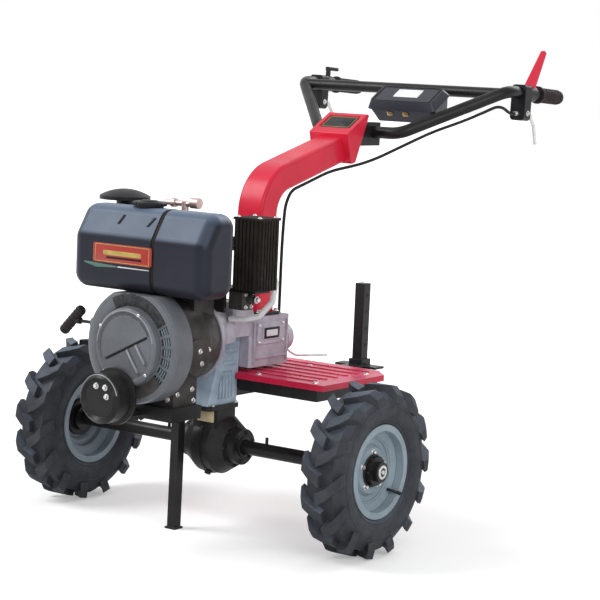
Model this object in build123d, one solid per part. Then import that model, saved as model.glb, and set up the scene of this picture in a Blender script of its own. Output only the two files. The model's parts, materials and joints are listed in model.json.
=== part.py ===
from build123d import *
import os
from math import asin, atan2, cos, radians, sin, tan

# Walk-behind two-wheel diesel tiller, parked on its wheels and front stand.
# Millimetres. While modelling, the wheel axle lies over Y = 0, the engine points to -Y,
# the operator stands at +Y, the machine's left is +X and the ground is Z = 0.

# Driving dimensions: wheels
TYRE_DIAMETER = 415.0
TYRE_WIDTH = 112.0
TYRE_WALL = 10.0
TRACK = 905.0
LUG_COUNT = 14
LUG_HEIGHT = 17.0
LUG_WIDTH = 28.0
LUG_SWEEP = 46.0
LUG_OVERLAP = 6.0
RIM_SEAT_RADIUS = 101.6
RIM_FLANGE_RADIUS = 113.5
RIM_WIDTH = 84.0
RIM_GAUGE = 4.0
RIM_WELL = 22.0
DISC_OFFSET = 8.0
DISC_GAUGE = 5.0
DISC_STEP = 9.0
HUB_RADIUS = 34.0
HUB_FLANGE = 14.0
HUB_LENGTH = 34.0
SLEEVE_RADIUS = 17.5
SHAFT_RADIUS = 12.5
SHAFT_ENGAGEMENT = 40.0
LOCK_PIN_RADIUS = 4.0
LOCK_PIN_LENGTH = 16.0
RUNNING_CLEARANCE = 0.05
SEAT_CLEARANCE = 0.2
BODY_CLEARANCE = 0.5

# Driving dimensions: drive case, leg and gear housing
DRUM_RADIUS = 75.0
DRUM_WIDTH = 52.0
SHOULDER_RADIUS = 54.0
SHOULDER_WIDTH = 120.0
BOSS_RADIUS = 45.0
BOSS_WIDTH = 170.0
NECK_WIDTH = 72.0
NECK_FRONT = -60.0
NECK_DEPTH = 90.0
CASE_HEIGHT = 104.5
FLANGE_GAUGE = 12.0
FLANGE_BORDER = 7.0
LEG_WIDTH = 74.0
LEG_HEIGHT = 170.0
LEG_TOP_FRONT = -36.0
LEG_TOP_DEPTH = 66.0
LEG_FOOT_FRONT = -92.0
LEG_FOOT_DEPTH = 116.0
LEG_RIBS = 4
LEG_RIB_GAUGE = 7.0
LEG_POCKET_DEPTH = 5.0
HOUSING_WIDTH = 140.0
HOUSING_LENGTH = 232.0
SHELF_RISE = 43.0
FLOOR_DROP = 82.0
TURRET_RISE = 86.0
TURRET_LENGTH = 62.0
CAP_RADIUS = 37.0
CAP_DEPTH = 22.0
CAP_OFFSET = 32.0
BELL_LENGTH = 78.0
BELL_FLANGE_RADIUS = 98.0
BELL_FLANGE_GAUGE = 10.0
BELL_FRONT_RADIUS = 86.0
BELL_BACK_RADIUS = 76.0
BELL_FLOOR_DROP = 10.0

# Driving dimensions: engine
CRANK_DROP = 2.0
CRANKCASE_RADIUS = 106.0
CRANKCASE_LENGTH = 164.0
SUMP_WIDTH = 144.0
SUMP_DROP = 146.0
SUMP_INSET = 16.0
SUMP_REAR_GAP = 62.0
COVER_RADIUS = 44.0
COVER_GAUGE = 6.0
CYLINDER_WIDTH = 148.0
CYLINDER_DEPTH = 76.0
CYLINDER_BASE = 122.0
CYLINDER_HEIGHT = 98.0
FIN_COUNT = 7
FIN_GAUGE = 5.0
FIN_DEPTH = 14.0
HEAD_HEIGHT = 46.0
HEAD_OVERHANG = 26.0
ROCKER_HEIGHT = 34.0
ROCKER_BORDER = 14.0
FAN_RADIUS = 138.0
FAN_DEPTH = 64.0
FAN_EDGE = 12.0
FAN_CROWN = 122.5
FAN_BAND_INNER = 96.0
FAN_BAND_OUTER = 124.0
FAN_BAND_DEPTH = 7.0
FAN_SLOTS = 15
FAN_SLOT_STEP = 13.0
FAN_SLOT_START = -86.0
FAN_SLOT_WIDTH = 7.0
RECOIL_RADIUS = 92.0
RECOIL_DEPTH = 20.0
RECOIL_EDGE = 8.0
RECOIL_DISH = 5.0
RECOIL_SWEEP = 27.0
RECOIL_STEP = 3.5
ROPE_BOSS_RADIUS = 13.0
ROPE_RISE = 38.0
ROPE_RADIUS = 4.0
PULL_LENGTH = 86.0
PULL_RADIUS = 12.0
PULL_REACH = 66.0
PULL_TILT = 44.0
TANK_X = -5.0
TANK_LENGTH = 410.0
TANK_DEPTH = 125.0
TANK_OVERHANG = 48.0
TANK_GAP = 0.5
TANK_FACE_HEIGHT = 129.0
TANK_BEVEL_HEIGHT = 71.0
TANK_BEVEL_DEPTH = 44.0
TANK_CORNER = 36.0
STRAP_X = 44.0
STRAP_WIDTH = 10.0
STRAP_GAUGE = 2.0
STRAP_GROOVE = 3.5
FUEL_CAP_RADIUS = 40.0
FUEL_CAP_HEIGHT = 13.0
FUEL_CAP_X = -40.0
INTAKE_X = -200.0
INTAKE_Y = -150.0
INTAKE_RADIUS = 63.0
INTAKE_DOME = 22.0
INTAKE_LIP = 9.0
INTAKE_STEM_RADIUS = 21.0
INTAKE_STEM_HEIGHT = 30.0
CLEANER_RADIUS = 50.0
CLEANER_HEIGHT = 140.0
CLEANER_DROP = 82.0
CLEANER_INLET_RADIUS = 20.0
MUFFLER_GAP = 48.0
MUFFLER_WIDTH = 84.0
MUFFLER_DEPTH = 84.0
MUFFLER_HEIGHT = 174.0
MUFFLER_WALL = 3.0
MUFFLER_RIB_PITCH = 11.0
MUFFLER_RIB_DEPTH = 4.0
MUFFLER_RISE = 134.0
EXHAUST_RADIUS = 17.0
BRACKET_GAUGE = 8.0
PUMP_X = 118.0
PUMP_WIDTH = 50.0
PUMP_HEIGHT = 44.0
PUMP_DEPTH = 38.0
BREATHER_RADIUS = 7.5

# Driving dimensions: front frame, guard and stand
RAIL_SPAN = 140.0
RAIL_WIDTH = 36.0
RAIL_HEIGHT = 32.0
RAIL_OVERHANG = 8.0
RAIL_REAR_GAP = 6.0
GUARD_X = -24.0
GUARD_DROP = 119.0
GUARD_RADIUS = 60.0
GUARD_RIM = 68.0
GUARD_DEPTH = 62.0
GUARD_GAP = 2.0
GUARD_WALL = 3.0
GUARD_DISH = 7.0
STAND_X = -36.0
STAND_FOOT_Y = -115.0
STAND_TUBE = 24.0
STAND_LEAN = 4.0
STAND_PIVOT_AHEAD = 23.0
STAND_PIVOT_DROP = 20.0
STAND_PIN_RADIUS = 6.0
STAND_EAR_RADIUS = 13.0
STAND_EAR_GAUGE = 7.0
STAND_STOP_GAP = 0.3
STAND_ARM_WIDTH = 48.0

# Driving dimensions: column, head and handlebar
COLUMN_Y = 128.5
COLUMN_WIDTH = 80.0
COLUMN_DEPTH = 68.0
COLUMN_WALL = 4.0
COLUMN_RISE = 318.0
COLUMN_BEND = 100.0
COLUMN_SLOPE = 15.5
COLUMN_REACH = 320.0
BASE_GAUGE = 8.0
BASE_BORDER = 12.0
HEAD_WIDTH = 124.0
HEAD_LENGTH = 112.0
HEAD_FRONT_RISE = 46.0
HEAD_REAR_RISE = 74.0
HEAD_DROP = 38.0
HEAD_TOE = 20.0
HEAD_WALL = 5.0
LABEL_RECESS = 2.0
LABEL_BORDER = 12.0
CLAMP_WIDTH = 104.0
TUBE_RADIUS = 16.0
TUBE_WALL = 2.5
TUBE_BEND = 62.0
HANDLE_REACH = 136.0
HANDLE_RISE = 11.0
ARM_BEND_X = 130.0
ARM_SPREAD = 205.0
ARM_RUN = 205.0
ARM_RISE = 124.0
GRIP_RUN = 274.0
GRIP_FALL = 14.0
GRIP_LENGTH = 118.0
GRIP_RADIUS = 19.0
GRIP_END = 6.0
CROSSBAR_RADIUS = 15.0
CROSSBAR_SHARE = 0.94
LEVER_BRACKET_AHEAD = 216.0
LEVER_BRACKET_LENGTH = 34.0
LEVER_BRACKET_WIDTH = 44.0
LEVER_BRACKET_HEIGHT = 96.0
LEVER_BRACKET_DROP = 26.0
LEVER_COLLAR_LENGTH = 36.0
LEVER_COLLAR_RADIUS = 22.0
LEVER_RADIUS = 5.5
RED_LEVER_HEIGHT = 128.0
RED_LEVER_BASE = 34.0
RED_LEVER_TIP = 15.0
RED_LEVER_GAUGE = 7.0
RED_LEVER_LEAN = 35.0
THROTTLE_HEIGHT = 28.0
THROTTLE_WIDTH = 10.0
THROTTLE_REACH = 46.0

# Driving dimensions: lidded box on the handlebar
BOX_X = 88.0
BOX_AHEAD = 92.6
BOX_LIFT = 40.0
BOX_LENGTH = 216.0
BOX_DEPTH = 96.0
BOX_RIM_OVERHANG = 4.0
BOX_TAPER = 18.0
BOX_TRAY_HEIGHT = 44.0
BOX_LID_HEIGHT = 22.0
BOX_LID_TAPER = 10.0
BOX_WALL = 3.0
BOX_CORNER = 12.0
BOX_SEAM = 0.3
BOX_BRACKET_WIDTH = 60.0
BOX_BRACKET_HEIGHT = 18.0

# Driving dimensions: deck, drawbar and depth stake
DECK_WIDTH = 616.0
DECK_FRONT = 12.0
DECK_LENGTH = 318.0
DECK_CLEAR = 12.0
DECK_GAUGE = 3.0
DECK_SKIRT = 15.0
DECK_CHAMFER = 52.0
DECK_RIBS = 6
DECK_RIB_WIDTH = 12.0
DECK_RIB_HEIGHT = 2.5
DECK_NOTCH_GAP = 5.0
BEAM_GAUGE = 8.0
BEAM_HEIGHT = 40.0
BEAM_INSET = 20.0
DRAWBAR_WIDTH = 56.0
DRAWBAR_HEIGHT = 20.0
STAKE_Y = 622.0
STAKE_TUBE = 30.0
STAKE_WALL = 3.0
STAKE_RISE = 224.0
STAKE_LENGTH = 384.0
STAKE_GAP = 0.3
SOCKET_WALL = 6.0
SOCKET_RISE = 16.0
STAKE_PLATE = 133.0
HITCH_RADIUS = 10.0
HITCH_AHEAD = 82.0

# Driving dimensions: control cable
CABLE_RADIUS = 4.0

# Heights worked out from those above
AXLE_Z = TYRE_DIAMETER / 2
WHEEL_X = TRACK / 2
CASE_TOP = AXLE_Z + CASE_HEIGHT
LEG_TOP = CASE_TOP + LEG_HEIGHT
SHELF_Z = LEG_TOP + SHELF_RISE
FLOOR_Z = LEG_TOP - FLOOR_DROP
TURRET_TOP = LEG_TOP + TURRET_RISE
CRANK_Z = LEG_TOP - CRANK_DROP
SUMP_BOTTOM = CRANK_Z - SUMP_DROP
CYLINDER_FOOT = CRANK_Z + CYLINDER_BASE
CYLINDER_TOP = CYLINDER_FOOT + CYLINDER_HEIGHT
HEAD_TOP = CYLINDER_TOP + HEAD_HEIGHT
ROCKER_TOP = HEAD_TOP + ROCKER_HEIGHT
TANK_BOTTOM = CRANK_Z + FAN_CROWN + TANK_GAP
TANK_BEND = TANK_BOTTOM + TANK_FACE_HEIGHT
TANK_TOP = TANK_BEND + TANK_BEVEL_HEIGHT
MUFFLER_BOTTOM = CRANK_Z + MUFFLER_RISE
RAIL_BOTTOM = SUMP_BOTTOM - RAIL_HEIGHT
PIVOT_Z = RAIL_BOTTOM - STAND_PIVOT_DROP
COLUMN_FOOT = SHELF_Z + BASE_GAUGE
DECK_TOP = FLOOR_Z - DECK_CLEAR
SKIRT_BOTTOM = DECK_TOP - DECK_SKIRT
BEAM_BOTTOM = DECK_TOP - DECK_GAUGE - BEAM_HEIGHT
DRAWBAR_TOP = BEAM_BOTTOM
DRAWBAR_BOTTOM = DRAWBAR_TOP - DRAWBAR_HEIGHT

# Places along the machine worked out from those above
LEG_TOP_REAR = LEG_TOP_FRONT + LEG_TOP_DEPTH
LEG_FOOT_REAR = LEG_FOOT_FRONT + LEG_FOOT_DEPTH
BELL_BACK = LEG_TOP_FRONT - 4
BELL_FRONT = BELL_BACK - BELL_LENGTH
HOUSING_REAR = BELL_BACK + HOUSING_LENGTH
CRANKCASE_FRONT = BELL_FRONT - CRANKCASE_LENGTH
FAN_FRONT = CRANKCASE_FRONT - FAN_DEPTH
RECOIL_FRONT = FAN_FRONT - RECOIL_DEPTH
GUARD_BACK = RECOIL_FRONT - GUARD_GAP
GUARD_FRONT = GUARD_BACK - GUARD_DEPTH
TANK_FRONT = CRANKCASE_FRONT - TANK_OVERHANG
TANK_BACK = TANK_FRONT + TANK_DEPTH
CYLINDER_BACK = BELL_FRONT - 4
CYLINDER_FRONT = CYLINDER_BACK - CYLINDER_DEPTH
MUFFLER_X = CYLINDER_WIDTH / 2 - 4 + MUFFLER_GAP
MUFFLER_FRONT = CYLINDER_BACK - 2
MUFFLER_BACK = MUFFLER_FRONT + MUFFLER_DEPTH
CLEANER_BOTTOM = HEAD_TOP - HEAD_HEIGHT / 2 - CLEANER_DROP
CLEANER_TOP = CLEANER_BOTTOM + CLEANER_HEIGHT
RAIL_FRONT = CRANKCASE_FRONT - RAIL_OVERHANG
RAIL_BACK = LEG_FOOT_FRONT - RAIL_REAR_GAP
PIVOT_Y = STAND_FOOT_Y - STAND_PIVOT_AHEAD
DECK_BACK = DECK_FRONT + DECK_LENGTH
HITCH_Y = STAKE_Y - HITCH_AHEAD

# The column's sloping end, the handlebar and the box follow each other
SLOPE = radians(COLUMN_SLOPE)
COLUMN_END = (COLUMN_Y + COLUMN_REACH * cos(SLOPE), COLUMN_FOOT + COLUMN_RISE + COLUMN_REACH * sin(SLOPE))


def from_column_end(along, above):
    """Y and Z of a point given along the sloping column past its end, and above it."""
    y = COLUMN_END[0] + along * cos(SLOPE) - above * sin(SLOPE)
    z = COLUMN_END[1] + along * sin(SLOPE) + above * cos(SLOPE)
    return y, z


CROSS_Y, CROSS_Z = from_column_end(HANDLE_REACH, HANDLE_RISE)
ARM_CORNER = (ARM_BEND_X + ARM_SPREAD, CROSS_Y + ARM_RUN, CROSS_Z + ARM_RISE)
GRIP_TIP = (ARM_CORNER[0], ARM_CORNER[1] + GRIP_RUN, ARM_CORNER[2] - GRIP_FALL)
GRIP_ANGLE = atan2(GRIP_FALL, GRIP_RUN)
ARM_ANGLE = atan2(ARM_RISE, ARM_RUN)
REAR_REACH = GRIP_TIP[1] + GRIP_RADIUS * sin(GRIP_ANGLE)
FRAME_SHIFT = -(GUARD_FRONT + REAR_REACH) / 2
SIDES = (("left", 1), ("right", -1))


# Small builders for solids placed by ranges
def block(x, y, z):
    size = Box(x[1] - x[0], y[1] - y[0], z[1] - z[0])
    return Pos((x[0] + x[1]) / 2, (y[0] + y[1]) / 2, (z[0] + z[1]) / 2) * size


def wide(width, centre=0.0):
    """The X range of a piece that is centred on the machine, or on another X."""
    return centre - width / 2, centre + width / 2


def rod_x(radius, x, y, z):
    return Pos((x[0] + x[1]) / 2, y, z) * Rot(0, 90, 0) * Cylinder(radius, x[1] - x[0])


def rod_y(radius, x, y, z):
    return Pos(x, (y[0] + y[1]) / 2, z) * Rot(90, 0, 0) * Cylinder(radius, y[1] - y[0])


def rod_z(radius, x, y, z):
    return Pos(x, y, (z[0] + z[1]) / 2) * Cylinder(radius, z[1] - z[0])


def side_profile(points, x, rounding=0.0):
    """A solid with the given outline in Y and Z, running along X."""
    face = make_face(Polyline(*points, close=True))
    if rounding:
        face = fillet(face.vertices(), rounding)
    return extrude(Plane(origin=(x[0], 0, 0), x_dir=(0, 1, 0), z_dir=(1, 0, 0)) * face, x[1] - x[0])


def tube(points, radius, bend):
    path = FilletPolyline(*points, radius=bend)
    return sweep(Plane(origin=path @ 0, z_dir=path % 0) * Circle(radius), path=path)


def spun_about_crank(points, x=0.0, z=CRANK_Z):
    """A ring turned about an axis along Y from (radius, y) points."""
    face = make_face(Polyline(*points, close=True))
    return Pos(x, 0, z) * revolve(face, axis=Axis.Y)


def spun_about_axle(points, side):
    """A ring turned about the wheel axle from (across, radius) points; across grows outwards."""
    face = make_face(Polyline(*[(side * across, radius) for across, radius in points], close=True))
    return Pos(side * WHEEL_X, 0, AXLE_Z) * revolve(face, axis=Axis.X)


# Wheels
def tyre_carcass():
    crown = TYRE_DIAMETER / 2 - LUG_HEIGHT
    half = TYRE_WIDTH / 2
    bead = RIM_SEAT_RADIUS + SEAT_CLEARANCE
    lip = RIM_FLANGE_RADIUS + SEAT_CLEARANCE
    bead_half = RIM_WIDTH / 2 - RIM_GAUGE - SEAT_CLEARANCE
    bulge = lip + 0.45 * (crown - lip)
    shoulder = crown - 0.2 * (crown - lip)
    foot = bead_half - TYRE_WALL
    outer = [Line((foot, bead), (bead_half, bead)), Line((bead_half, bead), (bead_half, lip)),
             ThreePointArc((bead_half, lip), (half - 3, bulge), (half - 9, shoulder)),
             Line((half - 9, shoulder), (half - 22, crown))]
    inner = [Line((foot, bead), (foot, lip)),
             ThreePointArc((foot, lip), (half - 3 - TYRE_WALL, bulge), (half - 10 - TYRE_WALL, shoulder - 4)),
             Line((half - 10 - TYRE_WALL, shoulder - 4), (half - 22 - TYRE_WALL, crown - TYRE_WALL))]
    edges = outer + inner
    edges += [mirror(edge, about=Plane.YZ) for edge in outer + inner]
    edges.append(Line((half - 22, crown), (22 - half, crown)))
    inner_crown = half - 22 - TYRE_WALL
    edges.append(Line((inner_crown, crown - TYRE_WALL), (-inner_crown, crown - TYRE_WALL)))
    return revolve(make_face(edges), axis=Axis.X)


def tyre_lug():
    """One lug of the +X flank, at the top of the tyre: a bar that sweeps back as it goes outwards."""
    crown = TYRE_DIAMETER / 2 - LUG_HEIGHT
    half = TYRE_WIDTH / 2
    root = crown - 28
    top = TYRE_DIAMETER / 2
    spine = ((-LUG_OVERLAP, 0), (half * 0.42, LUG_SWEEP * 0.36), (half, LUG_SWEEP))
    front = [(across, along - LUG_WIDTH / 2) for across, along in spine]
    back = [(across, along + LUG_WIDTH / 2) for across, along in reversed(spine)]
    bar = extrude(Plane.XY.offset(root) * make_face(Polyline(*front, *back, close=True)), top + 20 - root)
    envelope = [(-half, root), (half, root), (half, crown - 4), (half - 12, top), (12 - half, top), (-half, crown - 4)]
    return bar & revolve(make_face(Polyline(*envelope, close=True)), axis=Axis.X)


def tyre(side):
    lug = tyre_lug()
    pitch = 360 / LUG_COUNT
    lugs = []
    for i in range(LUG_COUNT):
        lugs.append(Rot(180 + pitch * i, 0, 0) * lug)
        lugs.append(Rot(180 + pitch * (i + 0.5), 0, 0) * mirror(lug, about=Plane.YZ))
    return Pos(side * WHEEL_X, 0, AXLE_Z) * (tyre_carcass() + lugs)


def rim(side):
    half = RIM_WIDTH / 2
    seat = RIM_SEAT_RADIUS
    t = RIM_GAUGE
    well = seat - RIM_WELL
    hole = HUB_RADIUS + SEAT_CLEARANCE
    ledge = half - RIM_WELL
    barrel = [(-half, RIM_FLANGE_RADIUS), (-half, seat - t), (-ledge, seat - t), (-ledge + 9, well - t),
              (ledge - 9, well - t), (ledge, seat - t), (half, seat - t), (half, RIM_FLANGE_RADIUS),
              (half - t, RIM_FLANGE_RADIUS), (half - t, seat), (ledge + 2, seat), (ledge - 7, well),
              (-ledge + 7, well), (-ledge - 2, seat), (-half + t, seat), (-half + t, RIM_FLANGE_RADIUS)]
    step = (hole + well) / 2
    back, front = DISC_OFFSET - DISC_GAUGE, DISC_OFFSET
    disc = [(back, well - t), (back, step + 4), (back + DISC_STEP, step - 4), (back + DISC_STEP, hole),
            (front + DISC_STEP, hole), (front + DISC_STEP, step - 2), (front, step + 6), (front, well - t)]
    return spun_about_axle(barrel, side) + spun_about_axle(disc, side)


def axle(side):
    """Output shaft stub, sleeve with its lock pin, and wheel hub, which turn as one piece."""
    inner = BOSS_WIDTH / 2 + BODY_CLEARANCE
    disc_back = WHEEL_X + DISC_OFFSET - DISC_GAUGE + DISC_STEP
    # outward station along the axle, radius up to there
    stations = ((inner - SHAFT_ENGAGEMENT, 0.0), (inner, SHAFT_RADIUS), (disc_back - 22, SLEEVE_RADIUS),
                (disc_back - 10, HUB_RADIUS), (disc_back, HUB_RADIUS + HUB_FLANGE),
                (disc_back + HUB_LENGTH * 0.6, HUB_RADIUS), (disc_back + HUB_LENGTH, HUB_RADIUS - 10))
    solid = None
    for (start, _), (end, radius) in zip(stations, stations[1:]):
        step = rod_x(radius, sorted((side * start, side * end)), 0, AXLE_Z)
        solid = step if solid is None else solid + step
    pin_x = side * (inner + 4 * SLEEVE_RADIUS)
    pin_foot = AXLE_Z + SLEEVE_RADIUS - 2
    return solid + rod_z(LOCK_PIN_RADIUS, pin_x, 0, (pin_foot, pin_foot + 2 + LOCK_PIN_LENGTH))


# Drive case, leg and gear housing
def gear_case():
    half = [(DRUM_WIDTH / 2, DRUM_RADIUS), (SHOULDER_WIDTH / 2, SHOULDER_RADIUS), (SHOULDER_WIDTH / 2, BOSS_RADIUS),
            (BOSS_WIDTH / 2, BOSS_RADIUS), (BOSS_WIDTH / 2, 0)]
    outline = [(-x, r) for x, r in reversed(half)] + half
    drum = Pos(0, 0, AXLE_Z) * revolve(make_face(Polyline(*outline, close=True)), axis=Axis.X)
    neck = block(wide(NECK_WIDTH), (NECK_FRONT, NECK_FRONT + NECK_DEPTH), (AXLE_Z, CASE_TOP))
    neck = fillet(neck.edges().filter_by(Axis.Z), 10)
    flange = block(wide(LEG_WIDTH + 2 * FLANGE_BORDER), (LEG_FOOT_FRONT, LEG_FOOT_REAR + FLANGE_BORDER),
                   (CASE_TOP - FLANGE_GAUGE, CASE_TOP))
    flange = fillet(flange.edges().filter_by(Axis.Z), 10)
    case = drum + neck + flange
    face = BOSS_WIDTH / 2
    for _, side in SIDES:
        bore = sorted((side * (face - SHAFT_ENGAGEMENT), side * (face + 1)))
        case -= rod_x(SHAFT_RADIUS + RUNNING_CLEARANCE, bore, 0, AXLE_Z)
    return case


def leg_body():
    outline = [(LEG_FOOT_FRONT, CASE_TOP), (LEG_FOOT_REAR, CASE_TOP), (LEG_TOP_REAR, LEG_TOP), (LEG_TOP_FRONT, LEG_TOP)]
    return side_profile(outline, wide(LEG_WIDTH))


def gear_leg():
    """Tapering casting between case and housing, with a ribbed pocket in each cheek."""
    leg = leg_body()
    low, high = CASE_TOP + 0.08 * LEG_HEIGHT, CASE_TOP + 0.48 * LEG_HEIGHT
    y0, y1 = LEG_FOOT_FRONT + 0.30 * LEG_FOOT_DEPTH, LEG_FOOT_REAR - 0.16 * LEG_FOOT_DEPTH
    shift = (LEG_TOP_FRONT - LEG_FOOT_FRONT) * 0.3
    for _, side in SIDES:
        cheek = side * LEG_WIDTH / 2
        x = sorted((cheek - side * LEG_POCKET_DEPTH, cheek + side))
        leg -= side_profile([(y0, low), (y1, low), (y1, high), (y0 + shift, high)], x, 6)
        rib_x = sorted((cheek - side * (LEG_POCKET_DEPTH + 1), cheek))
        pitch = (y1 - y0) / (LEG_RIBS + 1)
        for i in range(LEG_RIBS):
            y = y0 + pitch * (i + 1) + shift / 4
            leg += block(rib_x, (y - LEG_RIB_GAUGE / 2, y + LEG_RIB_GAUGE / 2), (low - 2, high - 12))
        for share in (0.60, 0.78):
            z = CASE_TOP + share * LEG_HEIGHT
            front = LEG_FOOT_FRONT + (LEG_TOP_FRONT - LEG_FOOT_FRONT) * share + 24
            x = sorted((cheek - side, cheek + side * 3))
            leg += block(x, (front, LEG_FOOT_REAR - 6), (z - 4, z + 4))
    return leg


def gear_housing():
    """Gearbox with a round bell to the engine, a turret over the leg and a capped rear end."""
    turret_back = BELL_BACK + TURRET_LENGTH
    rear_foot = LEG_TOP_REAR + BODY_CLEARANCE
    outline = [(BELL_BACK, LEG_TOP), (BELL_BACK, TURRET_TOP), (turret_back, TURRET_TOP),
               (turret_back + 24, SHELF_Z), (HOUSING_REAR, SHELF_Z), (HOUSING_REAR, FLOOR_Z), (rear_foot, FLOOR_Z),
               (rear_foot, LEG_TOP)]
    body = side_profile(outline, wide(HOUSING_WIDTH))
    body = chamfer(body.edges().filter_by(Axis.Z), 6)
    bell = spun_about_crank([(0, BELL_FRONT), (BELL_FLANGE_RADIUS, BELL_FRONT),
                             (BELL_FLANGE_RADIUS, BELL_FRONT + BELL_FLANGE_GAUGE),
                             (BELL_FRONT_RADIUS, BELL_FRONT + BELL_FLANGE_GAUGE), (BELL_BACK_RADIUS, BELL_BACK),
                             (0, BELL_BACK)])
    bell -= block(wide(3 * BELL_FLANGE_RADIUS), (BELL_FRONT + BELL_FLANGE_GAUGE, BELL_BACK + 1),
                  (CRANK_Z - 2 * BELL_FLANGE_RADIUS, LEG_TOP - BELL_FLOOR_DROP))
    cap_z = (SHELF_Z + FLOOR_Z) / 2
    cap = rod_y(CAP_RADIUS, CAP_OFFSET, (HOUSING_REAR, HOUSING_REAR + CAP_DEPTH), cap_z)
    cap += rod_y(CAP_RADIUS * 0.6, CAP_OFFSET, (HOUSING_REAR, HOUSING_REAR + CAP_DEPTH + 6), cap_z)
    panel_y = (rear_foot + 22, HOUSING_REAR - 26)
    panel = block(wide(HOUSING_WIDTH + 8), panel_y, (cap_z - 6, SHELF_Z - 14))
    return body + (bell - leg_body()) + cap + panel


# Engine
def crankcase():
    front, back = CRANKCASE_FRONT, BELL_FRONT
    shoulder = back - 0.35 * CRANKCASE_LENGTH
    body = spun_about_crank([(0, front), (CRANKCASE_RADIUS, front), (CRANKCASE_RADIUS, shoulder),
                             (BELL_FLANGE_RADIUS - 4, back), (0, back)])
    sump = block(wide(SUMP_WIDTH), (front + SUMP_INSET, back - SUMP_REAR_GAP), (SUMP_BOTTOM, CRANK_Z))
    tower = block(wide(CYLINDER_WIDTH - 8), (CYLINDER_FRONT, CYLINDER_BACK), (CRANK_Z, CYLINDER_FOOT))
    cover = rod_x(COVER_RADIUS, wide(2 * (CRANKCASE_RADIUS + COVER_GAUGE)), (front + shoulder) / 2, CRANK_Z - 24)
    return body + sump + tower + cover


def cylinder():
    y = (CYLINDER_FRONT, CYLINDER_BACK)
    half = CYLINDER_WIDTH / 2
    core = block((FIN_DEPTH - half, half - FIN_DEPTH), (y[0] + FIN_DEPTH, y[1] - FIN_DEPTH), (CYLINDER_FOOT, CYLINDER_TOP))
    pitch = CYLINDER_HEIGHT / FIN_COUNT
    for i in range(FIN_COUNT):
        z = CYLINDER_FOOT + pitch * (i + 1)
        core += block((-half, half), y, (z - FIN_GAUGE, z))
    return core


def cylinder_head():
    x = wide(CYLINDER_WIDTH - 8)
    head = block(x, (CYLINDER_FRONT, CYLINDER_BACK + HEAD_OVERHANG), (CYLINDER_TOP, HEAD_TOP))
    rocker = block((x[0] + ROCKER_BORDER, x[1] - ROCKER_BORDER),
                   (CYLINDER_FRONT + ROCKER_BORDER, CYLINDER_BACK + HEAD_OVERHANG - ROCKER_BORDER), (HEAD_TOP, ROCKER_TOP))
    rocker = fillet(rocker.edges().filter_by(Axis.Z) + rocker.edges().group_by(Axis.Z)[-1], 10)
    return head + rocker


def injector():
    """Bright fuel fitting on the rocker cover, with its banjo elbow."""
    y = CYLINDER_BACK - CYLINDER_DEPTH / 2
    post = rod_z(9, 0, y, (ROCKER_TOP, ROCKER_TOP + 36))
    line = rod_x(7, (-62, 20), y, ROCKER_TOP + 31)
    knob = rod_x(13, (20, 44), y, ROCKER_TOP + 34)
    nut = rod_x(11, (-40, -28), y, ROCKER_TOP + 31)
    return post + line + knob + nut


def fan_housing():
    """Round shroud, flat under the tank, with a band of cooling slots round the starter."""
    back = CRANKCASE_FRONT
    drum = spun_about_crank([(0, back), (FAN_RADIUS, back), (FAN_RADIUS, FAN_FRONT + FAN_EDGE),
                             (FAN_RADIUS - FAN_EDGE * 0.3, FAN_FRONT + FAN_EDGE * 0.3), (FAN_RADIUS - FAN_EDGE, FAN_FRONT),
                             (0, FAN_FRONT)])
    drum -= block(wide(2 * FAN_RADIUS), (FAN_FRONT - 1, back + 1), (CRANK_Z + FAN_CROWN, CRANK_Z + FAN_RADIUS + 1))
    drum -= spun_about_crank([(FAN_BAND_INNER, FAN_FRONT - 1), (FAN_BAND_OUTER, FAN_FRONT - 1),
                              (FAN_BAND_OUTER, FAN_FRONT + FAN_BAND_DEPTH), (FAN_BAND_INNER, FAN_FRONT + FAN_BAND_DEPTH)])
    middle = (FAN_BAND_INNER + FAN_BAND_OUTER) / 2
    length = FAN_BAND_OUTER - FAN_BAND_INNER
    bridge = Pos(middle, FAN_FRONT + FAN_BAND_DEPTH / 2 + 0.5, 0) * Box(length + 2, FAN_BAND_DEPTH - 1, FAN_SLOT_WIDTH)
    for i in range(FAN_SLOTS):
        turn = FAN_SLOT_START + FAN_SLOT_STEP * i
        drum += Pos(0, 0, CRANK_Z) * Rot(0, -turn, 0) * bridge
    rope_z = CRANK_Z + ROPE_RISE
    rope_y = (FAN_FRONT + back) / 2
    return drum + rod_x(ROPE_BOSS_RADIUS, (-FAN_RADIUS - 8, -FAN_RADIUS * 0.7), rope_y, rope_z)


def recoil_cover():
    """Dished starter cover with a raised rim, a raised upper half and two slanting ribs below it."""
    back = FAN_FRONT
    rim_inner = RECOIL_RADIUS - RECOIL_EDGE
    cover = spun_about_crank([(0, back), (RECOIL_RADIUS, back), (RECOIL_RADIUS, RECOIL_FRONT + RECOIL_EDGE / 2),
                              (RECOIL_RADIUS - RECOIL_EDGE / 2, RECOIL_FRONT), (rim_inner, RECOIL_FRONT),
                              (rim_inner - RECOIL_DISH, RECOIL_FRONT + RECOIL_DISH), (0, RECOIL_FRONT + RECOIL_DISH)])
    floor = RECOIL_FRONT + RECOIL_DISH
    reach = rim_inner - 2 * RECOIL_DISH
    step = rod_y(reach, 0, (floor - RECOIL_STEP, floor + 1), 0)
    step &= Rot(0, -RECOIL_SWEEP, 0) * block(wide(3 * reach), (floor - 9, floor + 9), (0, 2 * reach))
    cover += Pos(0, 0, CRANK_Z) * step
    # rib offset across its run, start and end along it
    for across, near, far in ((0, 6, 0.96), (30, 10, 0.86)):
        rib = block((near, reach * far), (floor - RECOIL_STEP, floor + 1), (across - 4, across + 4))
        cover += Pos(0, 0, CRANK_Z) * Rot(0, 55, 0) * rib
    return cover


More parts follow.
